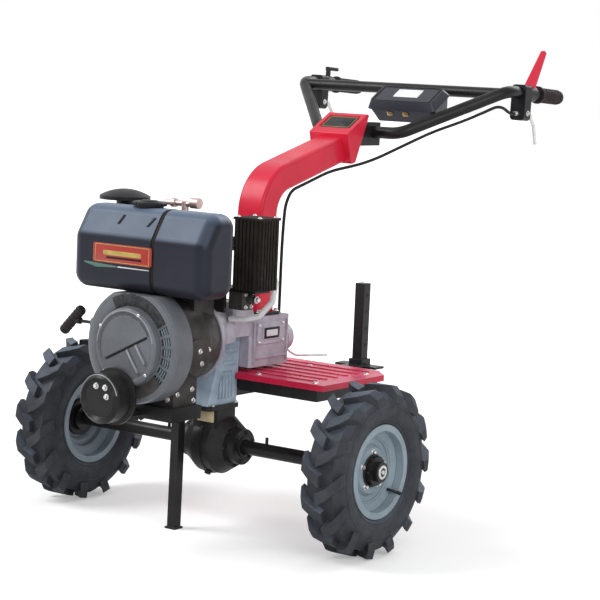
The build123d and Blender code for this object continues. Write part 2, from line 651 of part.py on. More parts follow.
def starter_handle():
    """Rope and moulded pull grip beside the shroud."""
    y = (FAN_FRONT + CRANKCASE_FRONT) / 2
    z = CRANK_Z + ROPE_RISE
    start = -FAN_RADIUS - 8
    rope = rod_x(ROPE_RADIUS, (start - PULL_REACH, start), y, z)
    grip = Cylinder(PULL_RADIUS, PULL_LENGTH)
    grip = fillet(grip.edges(), 4)
    grip -= Pos(0, 0, 0) * (Cylinder(PULL_RADIUS + 1, 3) - Cylinder(PULL_RADIUS - 2, 3))
    neck = rod_x(ROPE_RADIUS + 4, (start - PULL_REACH, start - PULL_REACH + 26), y, z)
    return rope + neck + Pos(start - PULL_REACH, y, z) * Rot(0, PULL_TILT, 0) * grip


def tank_section(inset):
    """The tank's outline in Y and Z, drawn in by an inset, as a face across X."""
    outline = [(TANK_FRONT, TANK_BOTTOM), (TANK_FRONT, TANK_BEND), (TANK_FRONT + TANK_BEVEL_DEPTH, TANK_TOP),
               (TANK_BACK, TANK_TOP), (TANK_BACK, TANK_BOTTOM)]
    face = make_face(Polyline(*outline, close=True))
    face = fillet(face.vertices(), TANK_CORNER)
    return offset(face, -inset) if inset else face


def tank_slab(inset, width, x):
    plane = Plane(origin=(x - width / 2, 0, 0), x_dir=(0, 1, 0), z_dir=(1, 0, 0))
    return extrude(plane * tank_section(inset), width)


def fuel_tank():
    """Moulded tank with rounded edges, a strap groove round it and two moulded grips under the cap."""
    body = tank_slab(0, TANK_LENGTH, TANK_X)
    ends = body.edges().filter_by(lambda edge: abs(abs(edge.center().X - TANK_X) - TANK_LENGTH / 2) < 0.1)
    body = fillet(ends, 0.9 * TANK_CORNER)
    groove_width = STRAP_WIDTH + 2
    body -= tank_slab(0, groove_width, STRAP_X) - tank_slab(STRAP_GROOVE, groove_width, STRAP_X)
    return body


def tank_strap():
    outer = tank_slab(STRAP_GROOVE - STRAP_GAUGE, STRAP_WIDTH, STRAP_X)
    return outer - tank_slab(STRAP_GROOVE, STRAP_WIDTH, STRAP_X)


def fuel_cap():
    """Round filler cap on a neck that fits the tank's rounded top."""
    y = TANK_BACK - FUEL_CAP_RADIUS
    top = TANK_TOP + FUEL_CAP_HEIGHT
    neck = rod_z(FUEL_CAP_RADIUS - 6, FUEL_CAP_X, y, (TANK_TOP - TANK_CORNER, TANK_TOP + 4))
    lid = rod_z(FUEL_CAP_RADIUS, FUEL_CAP_X, y, (TANK_TOP + 3, top))
    lid = chamfer(lid.edges().sort_by(Axis.Z)[-1], 3)
    return lid + (neck - tank_slab(0, 3 * FUEL_CAP_RADIUS, FUEL_CAP_X))


def air_cleaner():
    pot = rod_z(CLEANER_RADIUS, INTAKE_X, INTAKE_Y, (CLEANER_BOTTOM, CLEANER_TOP))
    pot += rod_z(CLEANER_RADIUS + 4, INTAKE_X, INTAKE_Y, (CLEANER_TOP - 34, CLEANER_TOP - 26))
    stem = rod_z(INTAKE_STEM_RADIUS, INTAKE_X, INTAKE_Y, (CLEANER_TOP, CLEANER_TOP + INTAKE_STEM_HEIGHT))
    inlet_z = HEAD_TOP - HEAD_HEIGHT / 2
    inlet = rod_x(CLEANER_INLET_RADIUS, (INTAKE_X, 4 - CYLINDER_WIDTH / 2), INTAKE_Y, inlet_z)
    return pot + stem + inlet


def intake_cap():
    """Mushroom cap of the air intake."""
    seat = CLEANER_TOP + INTAKE_STEM_HEIGHT
    half, neck, lip = INTAKE_RADIUS, INTAKE_STEM_RADIUS + 6, INTAKE_LIP / 2
    rise = INTAKE_DOME - lip
    radius = (half * half + rise * rise) / (2 * rise)
    turn = asin(half / radius) / 2
    crest = (radius * sin(turn), INTAKE_DOME - radius + radius * cos(turn))
    edges = [Line((0, 0), (neck, 0)), Line((neck, 0), (half, -lip)), Line((half, -lip), (half, lip)),
             ThreePointArc((half, lip), crest, (0, INTAKE_DOME)), Line((0, INTAKE_DOME), (0, 0))]
    return Pos(INTAKE_X, INTAKE_Y, seat) * Rot(90, 0, 0) * revolve(make_face(edges), axis=Axis.Y)


def muffler_guard():
    """Pressed box guard, open below, with upright ribs on all four sides."""
    x = (MUFFLER_X, MUFFLER_X + MUFFLER_WIDTH)
    y = (MUFFLER_FRONT, MUFFLER_BACK)
    z = (MUFFLER_BOTTOM, MUFFLER_BOTTOM + MUFFLER_HEIGHT)
    d, wall = MUFFLER_RIB_DEPTH, MUFFLER_WALL
    body = block((x[0] + d, x[1] - d), (y[0] + d, y[1] - d), z)
    top = block(x, y, (z[1] - 6, z[1]))
    guard = body + fillet(top.edges().filter_by(Axis.Z), d)
    rib_z = (z[0], z[1] - 4)
    for start, end in (x, y):
        count = int((end - start - 2 * d) / MUFFLER_RIB_PITCH)
        for i in range(count):
            at = (start + end) / 2 + MUFFLER_RIB_PITCH * (i - (count - 1) / 2)
            span = (at - MUFFLER_RIB_PITCH * 0.28, at + MUFFLER_RIB_PITCH * 0.28)
            guard += block(span, y, rib_z) if (start, end) == x else block(x, span, rib_z)
    inner = d + wall
    return guard - block((x[0] + inner, x[1] - inner), (y[0] + inner, y[1] - inner), (z[0] - 1, z[1] - wall - 3))


def muffler_bracket():
    """Bent plate that carries the muffler from the bell's flange."""
    y = BELL_FRONT + BELL_FLANGE_GAUGE
    x = (BELL_FRONT_RADIUS - 36, MUFFLER_X + MUFFLER_WIDTH - 20)
    foot_z = CRANK_Z + BELL_FRONT_RADIUS - 14
    shelf = block(x, (y, MUFFLER_BACK - 10), (MUFFLER_BOTTOM - BRACKET_GAUGE, MUFFLER_BOTTOM))
    upright = block((x[0], x[0] + 40), (y, y + BRACKET_GAUGE), (foot_z, MUFFLER_BOTTOM))
    return shelf + upright


def fuel_pump():
    """Injection pump hung under the muffler's shelf, with its side union and rear end."""
    shelf = MUFFLER_BOTTOM - BRACKET_GAUGE
    y = (BELL_FRONT + 18, BELL_FRONT + 18 + PUMP_DEPTH)
    middle = (y[0] + y[1]) / 2
    side = PUMP_X + PUMP_WIDTH / 2
    body = block(wide(PUMP_WIDTH, PUMP_X), y, (shelf - PUMP_HEIGHT, shelf))
    body = chamfer(body.edges().filter_by(Axis.Z), 5)
    body += rod_x(12, (side - 1, side + 14), middle, shelf - PUMP_HEIGHT * 0.38)
    body += rod_x(8, (side, side + 24), middle, shelf - PUMP_HEIGHT * 0.38)
    return body + rod_y(10, PUMP_X, (y[1] - 1, y[1] + 10), shelf - PUMP_HEIGHT * 0.5)


def exhaust():
    y = CYLINDER_BACK + HEAD_OVERHANG - EXHAUST_RADIUS - 2
    z = HEAD_TOP - HEAD_HEIGHT / 2
    start = CYLINDER_WIDTH / 2 - 4
    pipe = rod_x(EXHAUST_RADIUS, (start, MUFFLER_X), y, z)
    return pipe + block((start, start + 8), (y - 24, y + 18), (z - 21, z + 21))


def breather_pipe():
    """Bright pipe that curls down from behind the muffler to the bell."""
    x = MUFFLER_X + MUFFLER_WIDTH - 28
    y = MUFFLER_BACK
    z = MUFFLER_BOTTOM
    points = [(x, y, z + 24), (x, y + 26, z + 24), (x - 6, y + 22, z - 34), (x - 34, y + 8, z - 72), (x - 62, y - 2, z - 80),
              (x - 108, y - 14, z - 84)]
    return tube(points, BREATHER_RADIUS, 14) - gear_housing()


# Front frame, guard and stand
def engine_frame():
    """Rails under the sump, with an arm that runs on to the stand."""
    z = (RAIL_BOTTOM, SUMP_BOTTOM)
    back = BELL_FRONT - SUMP_REAR_GAP
    frame = block(wide(STAND_ARM_WIDTH, STAND_X), (RAIL_FRONT, RAIL_BACK), z)
    for _, side in SIDES:
        frame += block(wide(RAIL_WIDTH, side * RAIL_SPAN / 2), (RAIL_FRONT, back), z)
    for y in ((RAIL_FRONT, RAIL_FRONT + RAIL_WIDTH), (back - RAIL_WIDTH, back)):
        frame += block(wide(RAIL_SPAN), y, z)
    return frame


def front_guard():
    """Dished drum guard with a rolled rim, low at the front, on a bar from the frame."""
    z = CRANK_Z - GUARD_DROP
    edge = 10.0
    inner = GUARD_RADIUS - GUARD_WALL
    dish = GUARD_FRONT + GUARD_DISH
    lip = GUARD_RADIUS - edge
    guard = spun_about_crank([(0, dish), (lip - GUARD_DISH, dish), (lip, GUARD_FRONT), (GUARD_RADIUS, GUARD_FRONT + edge),
                              (GUARD_RADIUS, GUARD_BACK - 8), (GUARD_RIM, GUARD_BACK - 6), (GUARD_RIM, GUARD_BACK),
                              (inner, GUARD_BACK), (inner, GUARD_FRONT + edge + GUARD_WALL),
                              (lip - GUARD_WALL, dish + GUARD_WALL), (0, dish + GUARD_WALL)], GUARD_X, z)
    strap = block(wide(30, GUARD_X), (GUARD_BACK - 4, GUARD_BACK), (z - GUARD_RADIUS, z + GUARD_RADIUS))
    bar = block(wide(30, GUARD_X), (GUARD_BACK - 4, RAIL_FRONT), (RAIL_BOTTOM + 6, RAIL_BOTTOM + 18))
    return guard + strap + bar


def stand_bracket():
    bracket = None
    inner = STAND_TUBE / 2 + BODY_CLEARANCE
    for _, side in SIDES:
        x = sorted((STAND_X + side * inner, STAND_X + side * (inner + STAND_EAR_GAUGE)))
        ear = block(x, (PIVOT_Y - STAND_EAR_RADIUS, PIVOT_Y + STAND_EAR_RADIUS), (PIVOT_Z, RAIL_BOTTOM))
        ear += rod_x(STAND_EAR_RADIUS, x, PIVOT_Y, PIVOT_Z)
        bracket = ear if bracket is None else bracket + ear
    half = inner + STAND_EAR_GAUGE + 6
    return bracket + rod_x(STAND_PIN_RADIUS, wide(2 * half, STAND_X), PIVOT_Y, PIVOT_Z)


def stand_leg():
    """Tube leg whose top stops under the frame, hinged ahead of its foot, with a welded foot plate."""
    half = STAND_TUBE / 2
    x = wide(STAND_TUBE, STAND_X)
    top = RAIL_BOTTOM - STAND_STOP_GAP
    top_y = STAND_FOOT_Y + STAND_LEAN
    leg = side_profile([(STAND_FOOT_Y - half, 0), (STAND_FOOT_Y + half, 0), (top_y + half, top), (top_y - half, top)], x)
    knuckle = block(x, (PIVOT_Y, top_y), (PIVOT_Z - STAND_EAR_RADIUS, PIVOT_Z + STAND_EAR_RADIUS))
    knuckle += rod_x(STAND_EAR_RADIUS, x, PIVOT_Y, PIVOT_Z)
    foot = block(wide(STAND_TUBE + 8, STAND_X), (STAND_FOOT_Y - half - 4, STAND_FOOT_Y + half + 4), (0, 5))
    hole = rod_x(STAND_PIN_RADIUS + RUNNING_CLEARANCE, (x[0] - 1, x[1] + 1), PIVOT_Y, PIVOT_Z)
    return leg + knuckle + foot - hole


# Column, head and handlebar
def column():
    """Box tube that rises from the gearbox and bends back to the handlebar."""
    foot = (0, COLUMN_Y, COLUMN_FOOT)
    knee = (0, COLUMN_Y, COLUMN_FOOT + COLUMN_RISE)
    path = FilletPolyline(foot, knee, (0, *COLUMN_END), radius=COLUMN_BEND)
    section = Plane(origin=foot, x_dir=(1, 0, 0), z_dir=(0, 0, 1))
    corner = 8.0
    outer = section * RectangleRounded(COLUMN_WIDTH, COLUMN_DEPTH, corner)
    inner = section * RectangleRounded(COLUMN_WIDTH - 2 * COLUMN_WALL, COLUMN_DEPTH - 2 * COLUMN_WALL, corner - COLUMN_WALL)
    return sweep(outer, path=path) - sweep(inner, path=path)


def column_base():
    y = (COLUMN_Y - COLUMN_DEPTH / 2 - BASE_BORDER, COLUMN_Y + COLUMN_DEPTH / 2 + BASE_BORDER / 4)
    plate = block(wide(COLUMN_WIDTH + 3 * BASE_BORDER), y, (SHELF_Z, COLUMN_FOOT))
    return fillet(plate.edges().filter_by(Axis.Z), BASE_BORDER / 2)


def head_outline():
    """Corners along and above the sloping column, as Y and Z: front foot, front top, rear top, rear foot."""
    corners = ((0, -HEAD_DROP), (0, HEAD_FRONT_RISE), (HEAD_LENGTH, HEAD_REAR_RISE), (HEAD_TOE, -HEAD_DROP))
    return [from_column_end(along, above) for along, above in corners]


def column_head():
    """Flared head, open behind, with a shallow blank label recess in its sloping top."""
    outline = head_outline()
    head = side_profile(outline, wide(HEAD_WIDTH), 5)
    wall = HEAD_WALL
    inside = ((wall, -HEAD_DROP - 20), (wall, HEAD_FRONT_RISE - wall), (HEAD_LENGTH + 20, HEAD_REAR_RISE - wall + 2),
              (HEAD_LENGTH + 20, -HEAD_DROP - 20))
    pocket = [from_column_end(along, above) for along, above in inside]
    head -= side_profile(pocket, wide(HEAD_WIDTH - 2 * wall)) & side_profile(shifted(outline, wall), wide(HEAD_WIDTH))
    _, front, rear, _ = outline
    top = Plane(origin=(0, (front[0] + rear[0]) / 2, (front[1] + rear[1]) / 2), x_dir=(1, 0, 0),
                z_dir=(0, front[1] - rear[1], rear[0] - front[0]))
    label = top.offset(-LABEL_RECESS) * RectangleRounded(HEAD_WIDTH - 2 * LABEL_BORDER, HEAD_LENGTH - 4 * LABEL_BORDER, 6)
    return head - extrude(label, 3 * LABEL_RECESS)


def shifted(outline, distance):
    """An outline moved backwards along the column."""
    return [(y + distance * 4 * cos(SLOPE), z - distance * 4 * sin(SLOPE)) for y, z in outline]


def on_head_back(z):
    """Y on the head's sloping back face at a height."""
    _, _, (y1, z1), (y0, z0) = head_outline()
    return y0 + (y1 - y0) * (z - z0) / (z1 - z0)


def handlebar_clamp():
    low, high = CROSS_Z - 36, CROSS_Z + 26
    back = CROSS_Y + TUBE_RADIUS + 11
    outline = [(on_head_back(low), low), (on_head_back(high), high), (back, high), (back, low)]
    body = side_profile(outline, wide(CLAMP_WIDTH))
    return body - rod_x(TUBE_RADIUS + SEAT_CLEARANCE, wide(CLAMP_WIDTH + 10), CROSS_Y, CROSS_Z)


def handlebar_rod(radius):
    x, corner_y, corner_z = ARM_CORNER
    end = GRIP_TIP[1] - GRIP_END
    end_z = corner_z - GRIP_FALL * (end - corner_y) / GRIP_RUN
    half = [(x, end, end_z), (x, corner_y, corner_z), (ARM_BEND_X, CROSS_Y, CROSS_Z)]
    return tube(half + [(-px, py, pz) for px, py, pz in reversed(half)], radius, TUBE_BEND)


def handlebar():
    return handlebar_rod(TUBE_RADIUS) - handlebar_rod(TUBE_RADIUS - TUBE_WALL)


def arm_point(share):
    return ARM_BEND_X + ARM_SPREAD * share, CROSS_Y + ARM_RUN * share, CROSS_Z + ARM_RISE * share


def crossbar():
    x, y, z = arm_point(CROSSBAR_SHARE)
    return rod_x(CROSSBAR_RADIUS, (-x, x), y, z) - handlebar_rod(TUBE_RADIUS + 0.1)


def grip_plane(side, distance):
    """A plane across a grip, at a distance ahead of its tip, facing along the grip."""
    tip = Vector(side * GRIP_TIP[0], GRIP_TIP[1], GRIP_TIP[2])
    along = Vector(0, cos(GRIP_ANGLE), -sin(GRIP_ANGLE))
    return Plane(origin=tip - along * distance, x_dir=(-1, 0, 0), z_dir=along)


def grip(side):
    body = extrude(grip_plane(side, GRIP_LENGTH) * Circle(GRIP_RADIUS), GRIP_LENGTH)
    collar = extrude(grip_plane(side, GRIP_LENGTH) * Circle(GRIP_RADIUS + 5), 7)
    bore = extrude(grip_plane(side, GRIP_LENGTH + 1) * Circle(TUBE_RADIUS + SEAT_CLEARANCE), GRIP_LENGTH + 1 - GRIP_END + BODY_CLEARANCE)
    return body + collar - bore


def lever_collar(side):
    """The solid round of the lever bracket's collar, behind its block."""
    ahead = LEVER_BRACKET_AHEAD - LEVER_BRACKET_LENGTH
    return extrude(grip_plane(side, ahead) * Circle(LEVER_COLLAR_RADIUS), LEVER_COLLAR_LENGTH)


def lever_bracket(side):
    """Clamp round the handlebar that carries the hand lever, with a collar behind it."""
    face = Pos(0, -LEVER_BRACKET_DROP) * RectangleRounded(LEVER_BRACKET_WIDTH, LEVER_BRACKET_HEIGHT, 10)
    bracket = extrude(grip_plane(side, LEVER_BRACKET_AHEAD) * face, LEVER_BRACKET_LENGTH) + lever_collar(side)
    bore = grip_plane(side, LEVER_BRACKET_AHEAD + 1) * Circle(TUBE_RADIUS + SEAT_CLEARANCE)
    return bracket - extrude(bore, LEVER_BRACKET_LENGTH + LEVER_COLLAR_LENGTH + 2)


def hand_lever(side):
    start = LEVER_BRACKET_AHEAD - LEVER_BRACKET_LENGTH - BODY_CLEARANCE
    # distance ahead of the grip's tip, height from its axis
    route = ((start, -52), (start - 30, -54), (start - 60, -86), (start - 76, -134))
    return tube([grip_plane(side, ahead).from_local_coords((0, drop, 0)) for ahead, drop in route], LEVER_RADIUS, 22)


def red_lever():
    """Tapered engine-stop lever that leans back from the left collar."""
    plane = grip_plane(1, LEVER_BRACKET_AHEAD - LEVER_BRACKET_LENGTH - LEVER_COLLAR_LENGTH / 2)
    half, tip = RED_LEVER_BASE / 2, RED_LEVER_TIP / 2
    lean = tan(radians(RED_LEVER_LEAN))
    face = make_face(Polyline((-half, 0), (half, 0), (tip, RED_LEVER_HEIGHT), (-tip, RED_LEVER_HEIGHT), close=True))
    face = fillet(face.vertices().group_by(Axis.Y)[-1], tip * 0.8)
    foot = plane.from_local_coords((0, LEVER_COLLAR_RADIUS * 0.5, 0))
    up = Vector(0, lean, 1).normalized()
    blade = Plane(origin=foot, x_dir=(1, 0, 0), z_dir=Vector(1, 0, 0).cross(up))
    return extrude(blade * face, RED_LEVER_GAUGE / 2, both=True) - lever_collar(1)


def throttle_lever():
    """Small lever on the right collar, with a thumb piece that points back."""
    plane = grip_plane(-1, LEVER_BRACKET_AHEAD - LEVER_BRACKET_LENGTH - LEVER_COLLAR_LENGTH / 2)
    foot = LEVER_COLLAR_RADIUS * 0.7
    arm = Pos(0, foot + THROTTLE_HEIGHT / 2) * Rectangle(THROTTLE_WIDTH, THROTTLE_HEIGHT)
    thumb = Pos(0, foot + THROTTLE_HEIGHT) * RectangleRounded(THROTTLE_WIDTH * 1.4, THROTTLE_WIDTH, 3)
    return extrude(plane * arm, 10) + extrude(plane * thumb, THROTTLE_REACH) - lever_collar(-1)


# Lidded box, lying in the plane of the handlebar arms
def box_plane(depth):
    """The plane of the handlebar arms at the box's middle, a depth below the lid's top."""
    _, y, z = arm_point(CROSSBAR_SHARE)
    normal = Vector(0, -sin(ARM_ANGLE), cos(ARM_ANGLE))
    along = Vector(0, cos(ARM_ANGLE), sin(ARM_ANGLE))
    middle = Vector(BOX_X, y, z) - along * BOX_AHEAD + normal * (BOX_LIFT - depth)
    return Plane(origin=middle, x_dir=(1, 0, 0), z_dir=normal)


def box_ring(depth, inset):
    """The box's outline, drawn in all round by an inset, at a depth below the lid's top."""
    return box_plane(depth) * RectangleRounded(BOX_LENGTH - 2 * inset, BOX_DEPTH - 2 * inset, BOX_CORNER)


def tray_hull(grow):
    """The tray's outer form, grown by a small clearance."""
    rim = BOX_RIM_OVERHANG - grow
    floor = BOX_LID_HEIGHT + BOX_TRAY_HEIGHT + grow
    return loft([box_ring(floor, BOX_RIM_OVERHANG + BOX_TAPER * 0.5 - grow), box_ring(BOX_LID_HEIGHT + BOX_SEAM, rim)])


def toolbox_tray():
    inner_rim = BOX_RIM_OVERHANG + BOX_WALL
    floor = BOX_LID_HEIGHT + BOX_TRAY_HEIGHT - BOX_WALL
    mouth = BOX_LID_HEIGHT + BOX_SEAM - BODY_CLEARANCE
    return tray_hull(0) - loft([box_ring(floor, inner_rim + BOX_TAPER * 0.5), box_ring(mouth, inner_rim)])


def toolbox_lid():
    outer = loft([box_ring(BOX_LID_HEIGHT, 0), box_ring(0, BOX_LID_TAPER)])
    inner = loft([box_ring(BOX_LID_HEIGHT + BODY_CLEARANCE, BOX_WALL), box_ring(BOX_WALL, BOX_LID_TAPER + BOX_WALL)])
    return outer - inner


def toolbox_bracket():
    """Saddle between the tray's back wall and the crossbar."""
    _, y, z = arm_point(CROSSBAR_SHARE)
    plane = box_plane(BOX_LIFT)
    saddle = plane * Pos(0, BOX_AHEAD / 2 + 6, -BOX_BRACKET_HEIGHT * 0.6) * Box(BOX_BRACKET_WIDTH, BOX_AHEAD, BOX_BRACKET_HEIGHT)
    bar = rod_x(CROSSBAR_RADIUS + SEAT_CLEARANCE, wide(BOX_BRACKET_WIDTH + 20, BOX_X), y, z)
    return saddle - bar - tray_hull(SEAT_CLEARANCE)


# Deck, drawbar and depth stake
def deck_outline(inset):
    half = DECK_WIDTH / 2 - inset
    front, back, cut = DECK_FRONT + inset, DECK_BACK - inset, DECK_CHAMFER
    return make_face(Polyline((-half, front), (half, front), (half, back - cut), (half - cut, back), (cut - half, back),
                              (-half, back - cut), close=True))


def deck():
    """Ribbed pressed plate with a turned-down skirt, notched round the leg."""
    plate = extrude(Plane.XY.offset(SKIRT_BOTTOM) * deck_outline(0), DECK_SKIRT)
    plate -= extrude(Plane.XY.offset(SKIRT_BOTTOM - 1) * deck_outline(DECK_GAUGE), DECK_SKIRT + 1 - DECK_GAUGE)
    rib_length = DECK_WIDTH - 2 * DECK_CHAMFER
    pitch = DECK_LENGTH / (DECK_RIBS + 1)
    for i in range(DECK_RIBS):
        y = DECK_FRONT + pitch * (i + 1)
        rib = RectangleRounded(rib_length, DECK_RIB_WIDTH, DECK_RIB_WIDTH / 2 - 0.1)
        plate += extrude(Plane.XY.offset(DECK_TOP - 0.5) * Pos(0, y) * rib, DECK_RIB_HEIGHT + 0.5)
    notch = LEG_WIDTH / 2 + DECK_NOTCH_GAP
    return plate - block((-notch, notch), (DECK_FRONT - 1, LEG_TOP_REAR + DECK_NOTCH_GAP), (BEAM_BOTTOM, DECK_TOP + 10))


def deck_frame():
    """Two cross beams and two side rails under the deck."""
    half = DECK_WIDTH / 2 - BEAM_INSET
    z = (BEAM_BOTTOM, DECK_TOP - DECK_GAUGE)
    front = LEG_TOP_REAR + 2 * DECK_NOTCH_GAP
    back = DECK_BACK - DECK_CHAMFER
    frame = block((-half, half), (back - BEAM_GAUGE, back), z) + block((-half, half), (front, front + BEAM_GAUGE), z)
    inner = LEG_WIDTH / 2 + 2 * DECK_NOTCH_GAP
    lip = DECK_FRONT + DECK_GAUGE + BODY_CLEARANCE
    for _, side in SIDES:
        frame += block(sorted((side * half, side * (half - BEAM_GAUGE))), (lip, back), z)
        frame += block(sorted((side * inner, side * half)), (lip, lip + BEAM_GAUGE), z)
        frame += block(sorted((side * inner, side * (inner + BEAM_GAUGE))), (lip, front + 1), z)
    return frame


def drawbar():
    """Bar from the leg to the stake socket, with a hitch pin hole and a cross plate."""
    z = (DRAWBAR_BOTTOM, DRAWBAR_TOP)
    bar = block(wide(DRAWBAR_WIDTH), (LEG_TOP_FRONT, STAKE_Y), z)
    socket = STAKE_TUBE + 2 * (STAKE_GAP + SOCKET_WALL)
    bar += block(wide(socket), (STAKE_Y - socket / 2, STAKE_Y + socket / 2), (z[0] - SOCKET_RISE, z[1] + SOCKET_RISE))
    bar += block(wide(STAKE_PLATE), (STAKE_Y - socket / 2, STAKE_Y + socket / 2), (z[1] - DECK_GAUGE * 2, z[1]))
    hole = STAKE_TUBE + 2 * STAKE_GAP
    bar -= block(wide(hole), (STAKE_Y - hole / 2, STAKE_Y + hole / 2), (z[0] - SOCKET_RISE - 1, z[1] + SOCKET_RISE + 1))
    bar -= rod_z(HITCH_RADIUS, 0, HITCH_Y, (z[0] - 1, z[1] + 1))
    bar = bar - leg_body() - block(wide(LEG_WIDTH + 2), (LEG_FOOT_FRONT, 0), (z[0] - 1, z[1] + 1))
    # room for the case's flange, should the leg be shorter
    flange = LEG_WIDTH + 2 * (FLANGE_BORDER + BODY_CLEARANCE)
    flange_rear = LEG_FOOT_REAR + FLANGE_BORDER + BODY_CLEARANCE
    return bar - block(wide(flange), (LEG_FOOT_FRONT, flange_rear), (AXLE_Z, CASE_TOP + BODY_CLEARANCE))


def depth_stake():
    """Square tube that slides in its socket."""
    z = (DRAWBAR_TOP + STAKE_RISE - STAKE_LENGTH, DRAWBAR_TOP + STAKE_RISE)
    half = STAKE_TUBE / 2
    tube_solid = block(wide(STAKE_TUBE), (STAKE_Y - half, STAKE_Y + half), z)
    inner = half - STAKE_WALL
    return tube_solid - block((-inner, inner), (STAKE_Y - inner, STAKE_Y + inner), (z[0] - 1, z[1] - STAKE_WALL))


# Control cable
def clutch_cable():
    """Held cable from the left lever bracket, under the arm and the column, to the gearbox's rear face."""
    bracket = grip_plane(1, LEVER_BRACKET_AHEAD + BODY_CLEARANCE).from_local_coords((0, -LEVER_BRACKET_DROP - 30, 0))
    below = TUBE_RADIUS + 12
    # share along the handlebar arm, sag below it
    arm = ((0.92, below), (0.62, below + 5), (0.30, below + 1), (0.08, below + 6))
    points = [tuple(bracket), (bracket.X, bracket.Y - 34, bracket.Z - 2)]
    for share, sag in arm:
        x, y, z = arm_point(share)
        points.append((x + 4, y, z - sag))
    under = -COLUMN_DEPTH / 2 - 2.5 * CABLE_RADIUS
    # distance along from the column's end, X, drop below the column
    for along, x, drop in ((72, 68, 9), (-50, 29, 0), (-112, 26, 1), (-168, 28, 0), (-221, 25, 1)):
        points.append((x, *from_column_end(along, under - drop)))
    rear = HOUSING_REAR + CABLE_RADIUS + BODY_CLEARANCE
    top = COLUMN_FOOT + COLUMN_RISE
    # X, distance behind the housing's rear face, height
    points += [(x, rear + back, z) for x, back, z in ((26, 16, top - 51), (27, 10, top - 91), (29, 4, top - 151),
                                                      (30, 2, top - 211), (31, 0.6, SHELF_Z + 20), (31, 0, SHELF_Z - 19))]
    return cable_along(points)


def cable_along(points):
    """A round cable through points, with a tangent bend at each that suits the shorter run beside it."""
    places = [Vector(*point) for point in points]
    start = places[0]
    edges = []
    for before, here, after in zip(places, places[1:], places[2:]):
        reach = 0.45 * min((here - before).length, (after - here).length)
        along, onward = (here - before).normalized(), (after - here).normalized()
        half_turn = radians(along.get_angle(onward)) / 2
        radius = reach / tan(half_turn)
        middle = here + (onward - along).normalized() * radius * (1 / cos(half_turn) - 1)
        edges.append(Line(start, here - along * reach))
        edges.append(ThreePointArc(here - along * reach, middle, here + onward * reach))
        start = here + onward * reach
    edges.append(Line(start, places[-1]))
    path = Wire(edges)
    return sweep(Plane(origin=path @ 0, z_dir=path % 0) * Circle(CABLE_RADIUS), path=path)


PARTS = {}


def build_parts():
    for name, side in SIDES:
        PARTS["tyre_" + name] = tyre(side)
        PARTS["rim_" + name] = rim(side)
        PARTS["axle_" + name] = axle(side)
        PARTS["grip_" + name] = grip(side)
        PARTS["lever_bracket_" + name] = lever_bracket(side)
        PARTS["hand_lever_" + name] = hand_lever(side)
    for builder in (gear_case, gear_leg, gear_housing, crankcase, cylinder, cylinder_head, injector, fan_housing,
                    recoil_cover, starter_handle, fuel_tank, tank_strap, fuel_cap, air_cleaner, intake_cap,
                    muffler_guard, muffler_bracket, fuel_pump, exhaust, breather_pipe, engine_frame, front_guard, stand_bracket,
                    stand_leg, column, column_base, column_head, handlebar_clamp, handlebar, crossbar, red_lever,
                    throttle_lever, toolbox_tray, toolbox_lid, toolbox_bracket, deck, deck_frame, drawbar, depth_stake,
                    clutch_cable):
        PARTS[builder.__name__] = builder()


build_parts()
os.makedirs("parts", exist_ok=True)
for node, solid in PARTS.items():
    export_step(Pos(0, FRAME_SHIFT, 0) * solid, f"parts/{node}.step")
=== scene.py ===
"""Looks of a walk-behind two-wheel tiller: finishes, small trim, studio light and the camera."""
import json
import math

import bmesh
import bpy
from mathutils import Matrix, Vector


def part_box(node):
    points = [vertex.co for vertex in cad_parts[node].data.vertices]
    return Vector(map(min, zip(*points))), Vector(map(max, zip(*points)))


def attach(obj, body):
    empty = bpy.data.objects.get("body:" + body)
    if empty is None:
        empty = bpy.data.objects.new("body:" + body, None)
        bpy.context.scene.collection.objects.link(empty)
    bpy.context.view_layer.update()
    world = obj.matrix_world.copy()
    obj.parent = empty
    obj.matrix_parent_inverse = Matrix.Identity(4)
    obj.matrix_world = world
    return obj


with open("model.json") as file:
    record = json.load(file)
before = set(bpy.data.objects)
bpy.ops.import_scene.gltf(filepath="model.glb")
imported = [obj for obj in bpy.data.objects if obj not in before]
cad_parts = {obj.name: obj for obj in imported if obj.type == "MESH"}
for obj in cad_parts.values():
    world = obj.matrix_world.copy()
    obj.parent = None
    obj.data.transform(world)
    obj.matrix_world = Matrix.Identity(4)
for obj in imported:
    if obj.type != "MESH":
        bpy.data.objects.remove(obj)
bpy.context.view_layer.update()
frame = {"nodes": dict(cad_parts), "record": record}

MM = 0.001
LOW, HIGH = 0, 1
X, Y, Z = 0, 1, 2
LEFTWARDS, FORWARDS, BACKWARDS, UPWARDS = (1, 0, 0), (0, -1, 0), (0, 1, 0), (0, 0, 1)
SIDES = (("left", 1), ("right", -1))

# The wheel axle's middle, taken from the wheels: places below are given from it
WHEEL_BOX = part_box("tyre_left")
AXLE_Y = (WHEEL_BOX[LOW].y + WHEEL_BOX[HIGH].y) / 2


def at(x, y, z):
    """A point in metres from one in millimetres, with Y given from the axle."""
    return Vector((x * MM, y * MM + AXLE_Y, z * MM))


def node_box(name):
    """A node's low and high corners in millimetres, with Y given from the axle."""
    corners = [(corner.x, corner.y - AXLE_Y, corner.z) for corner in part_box(name)]
    return [[round(value / MM, 2) for value in corner] for corner in corners]


def node_middle(name):
    """The middle of a node's box, in the same units."""
    return [(low + high) / 2 for low, high in zip(*node_box(name))]


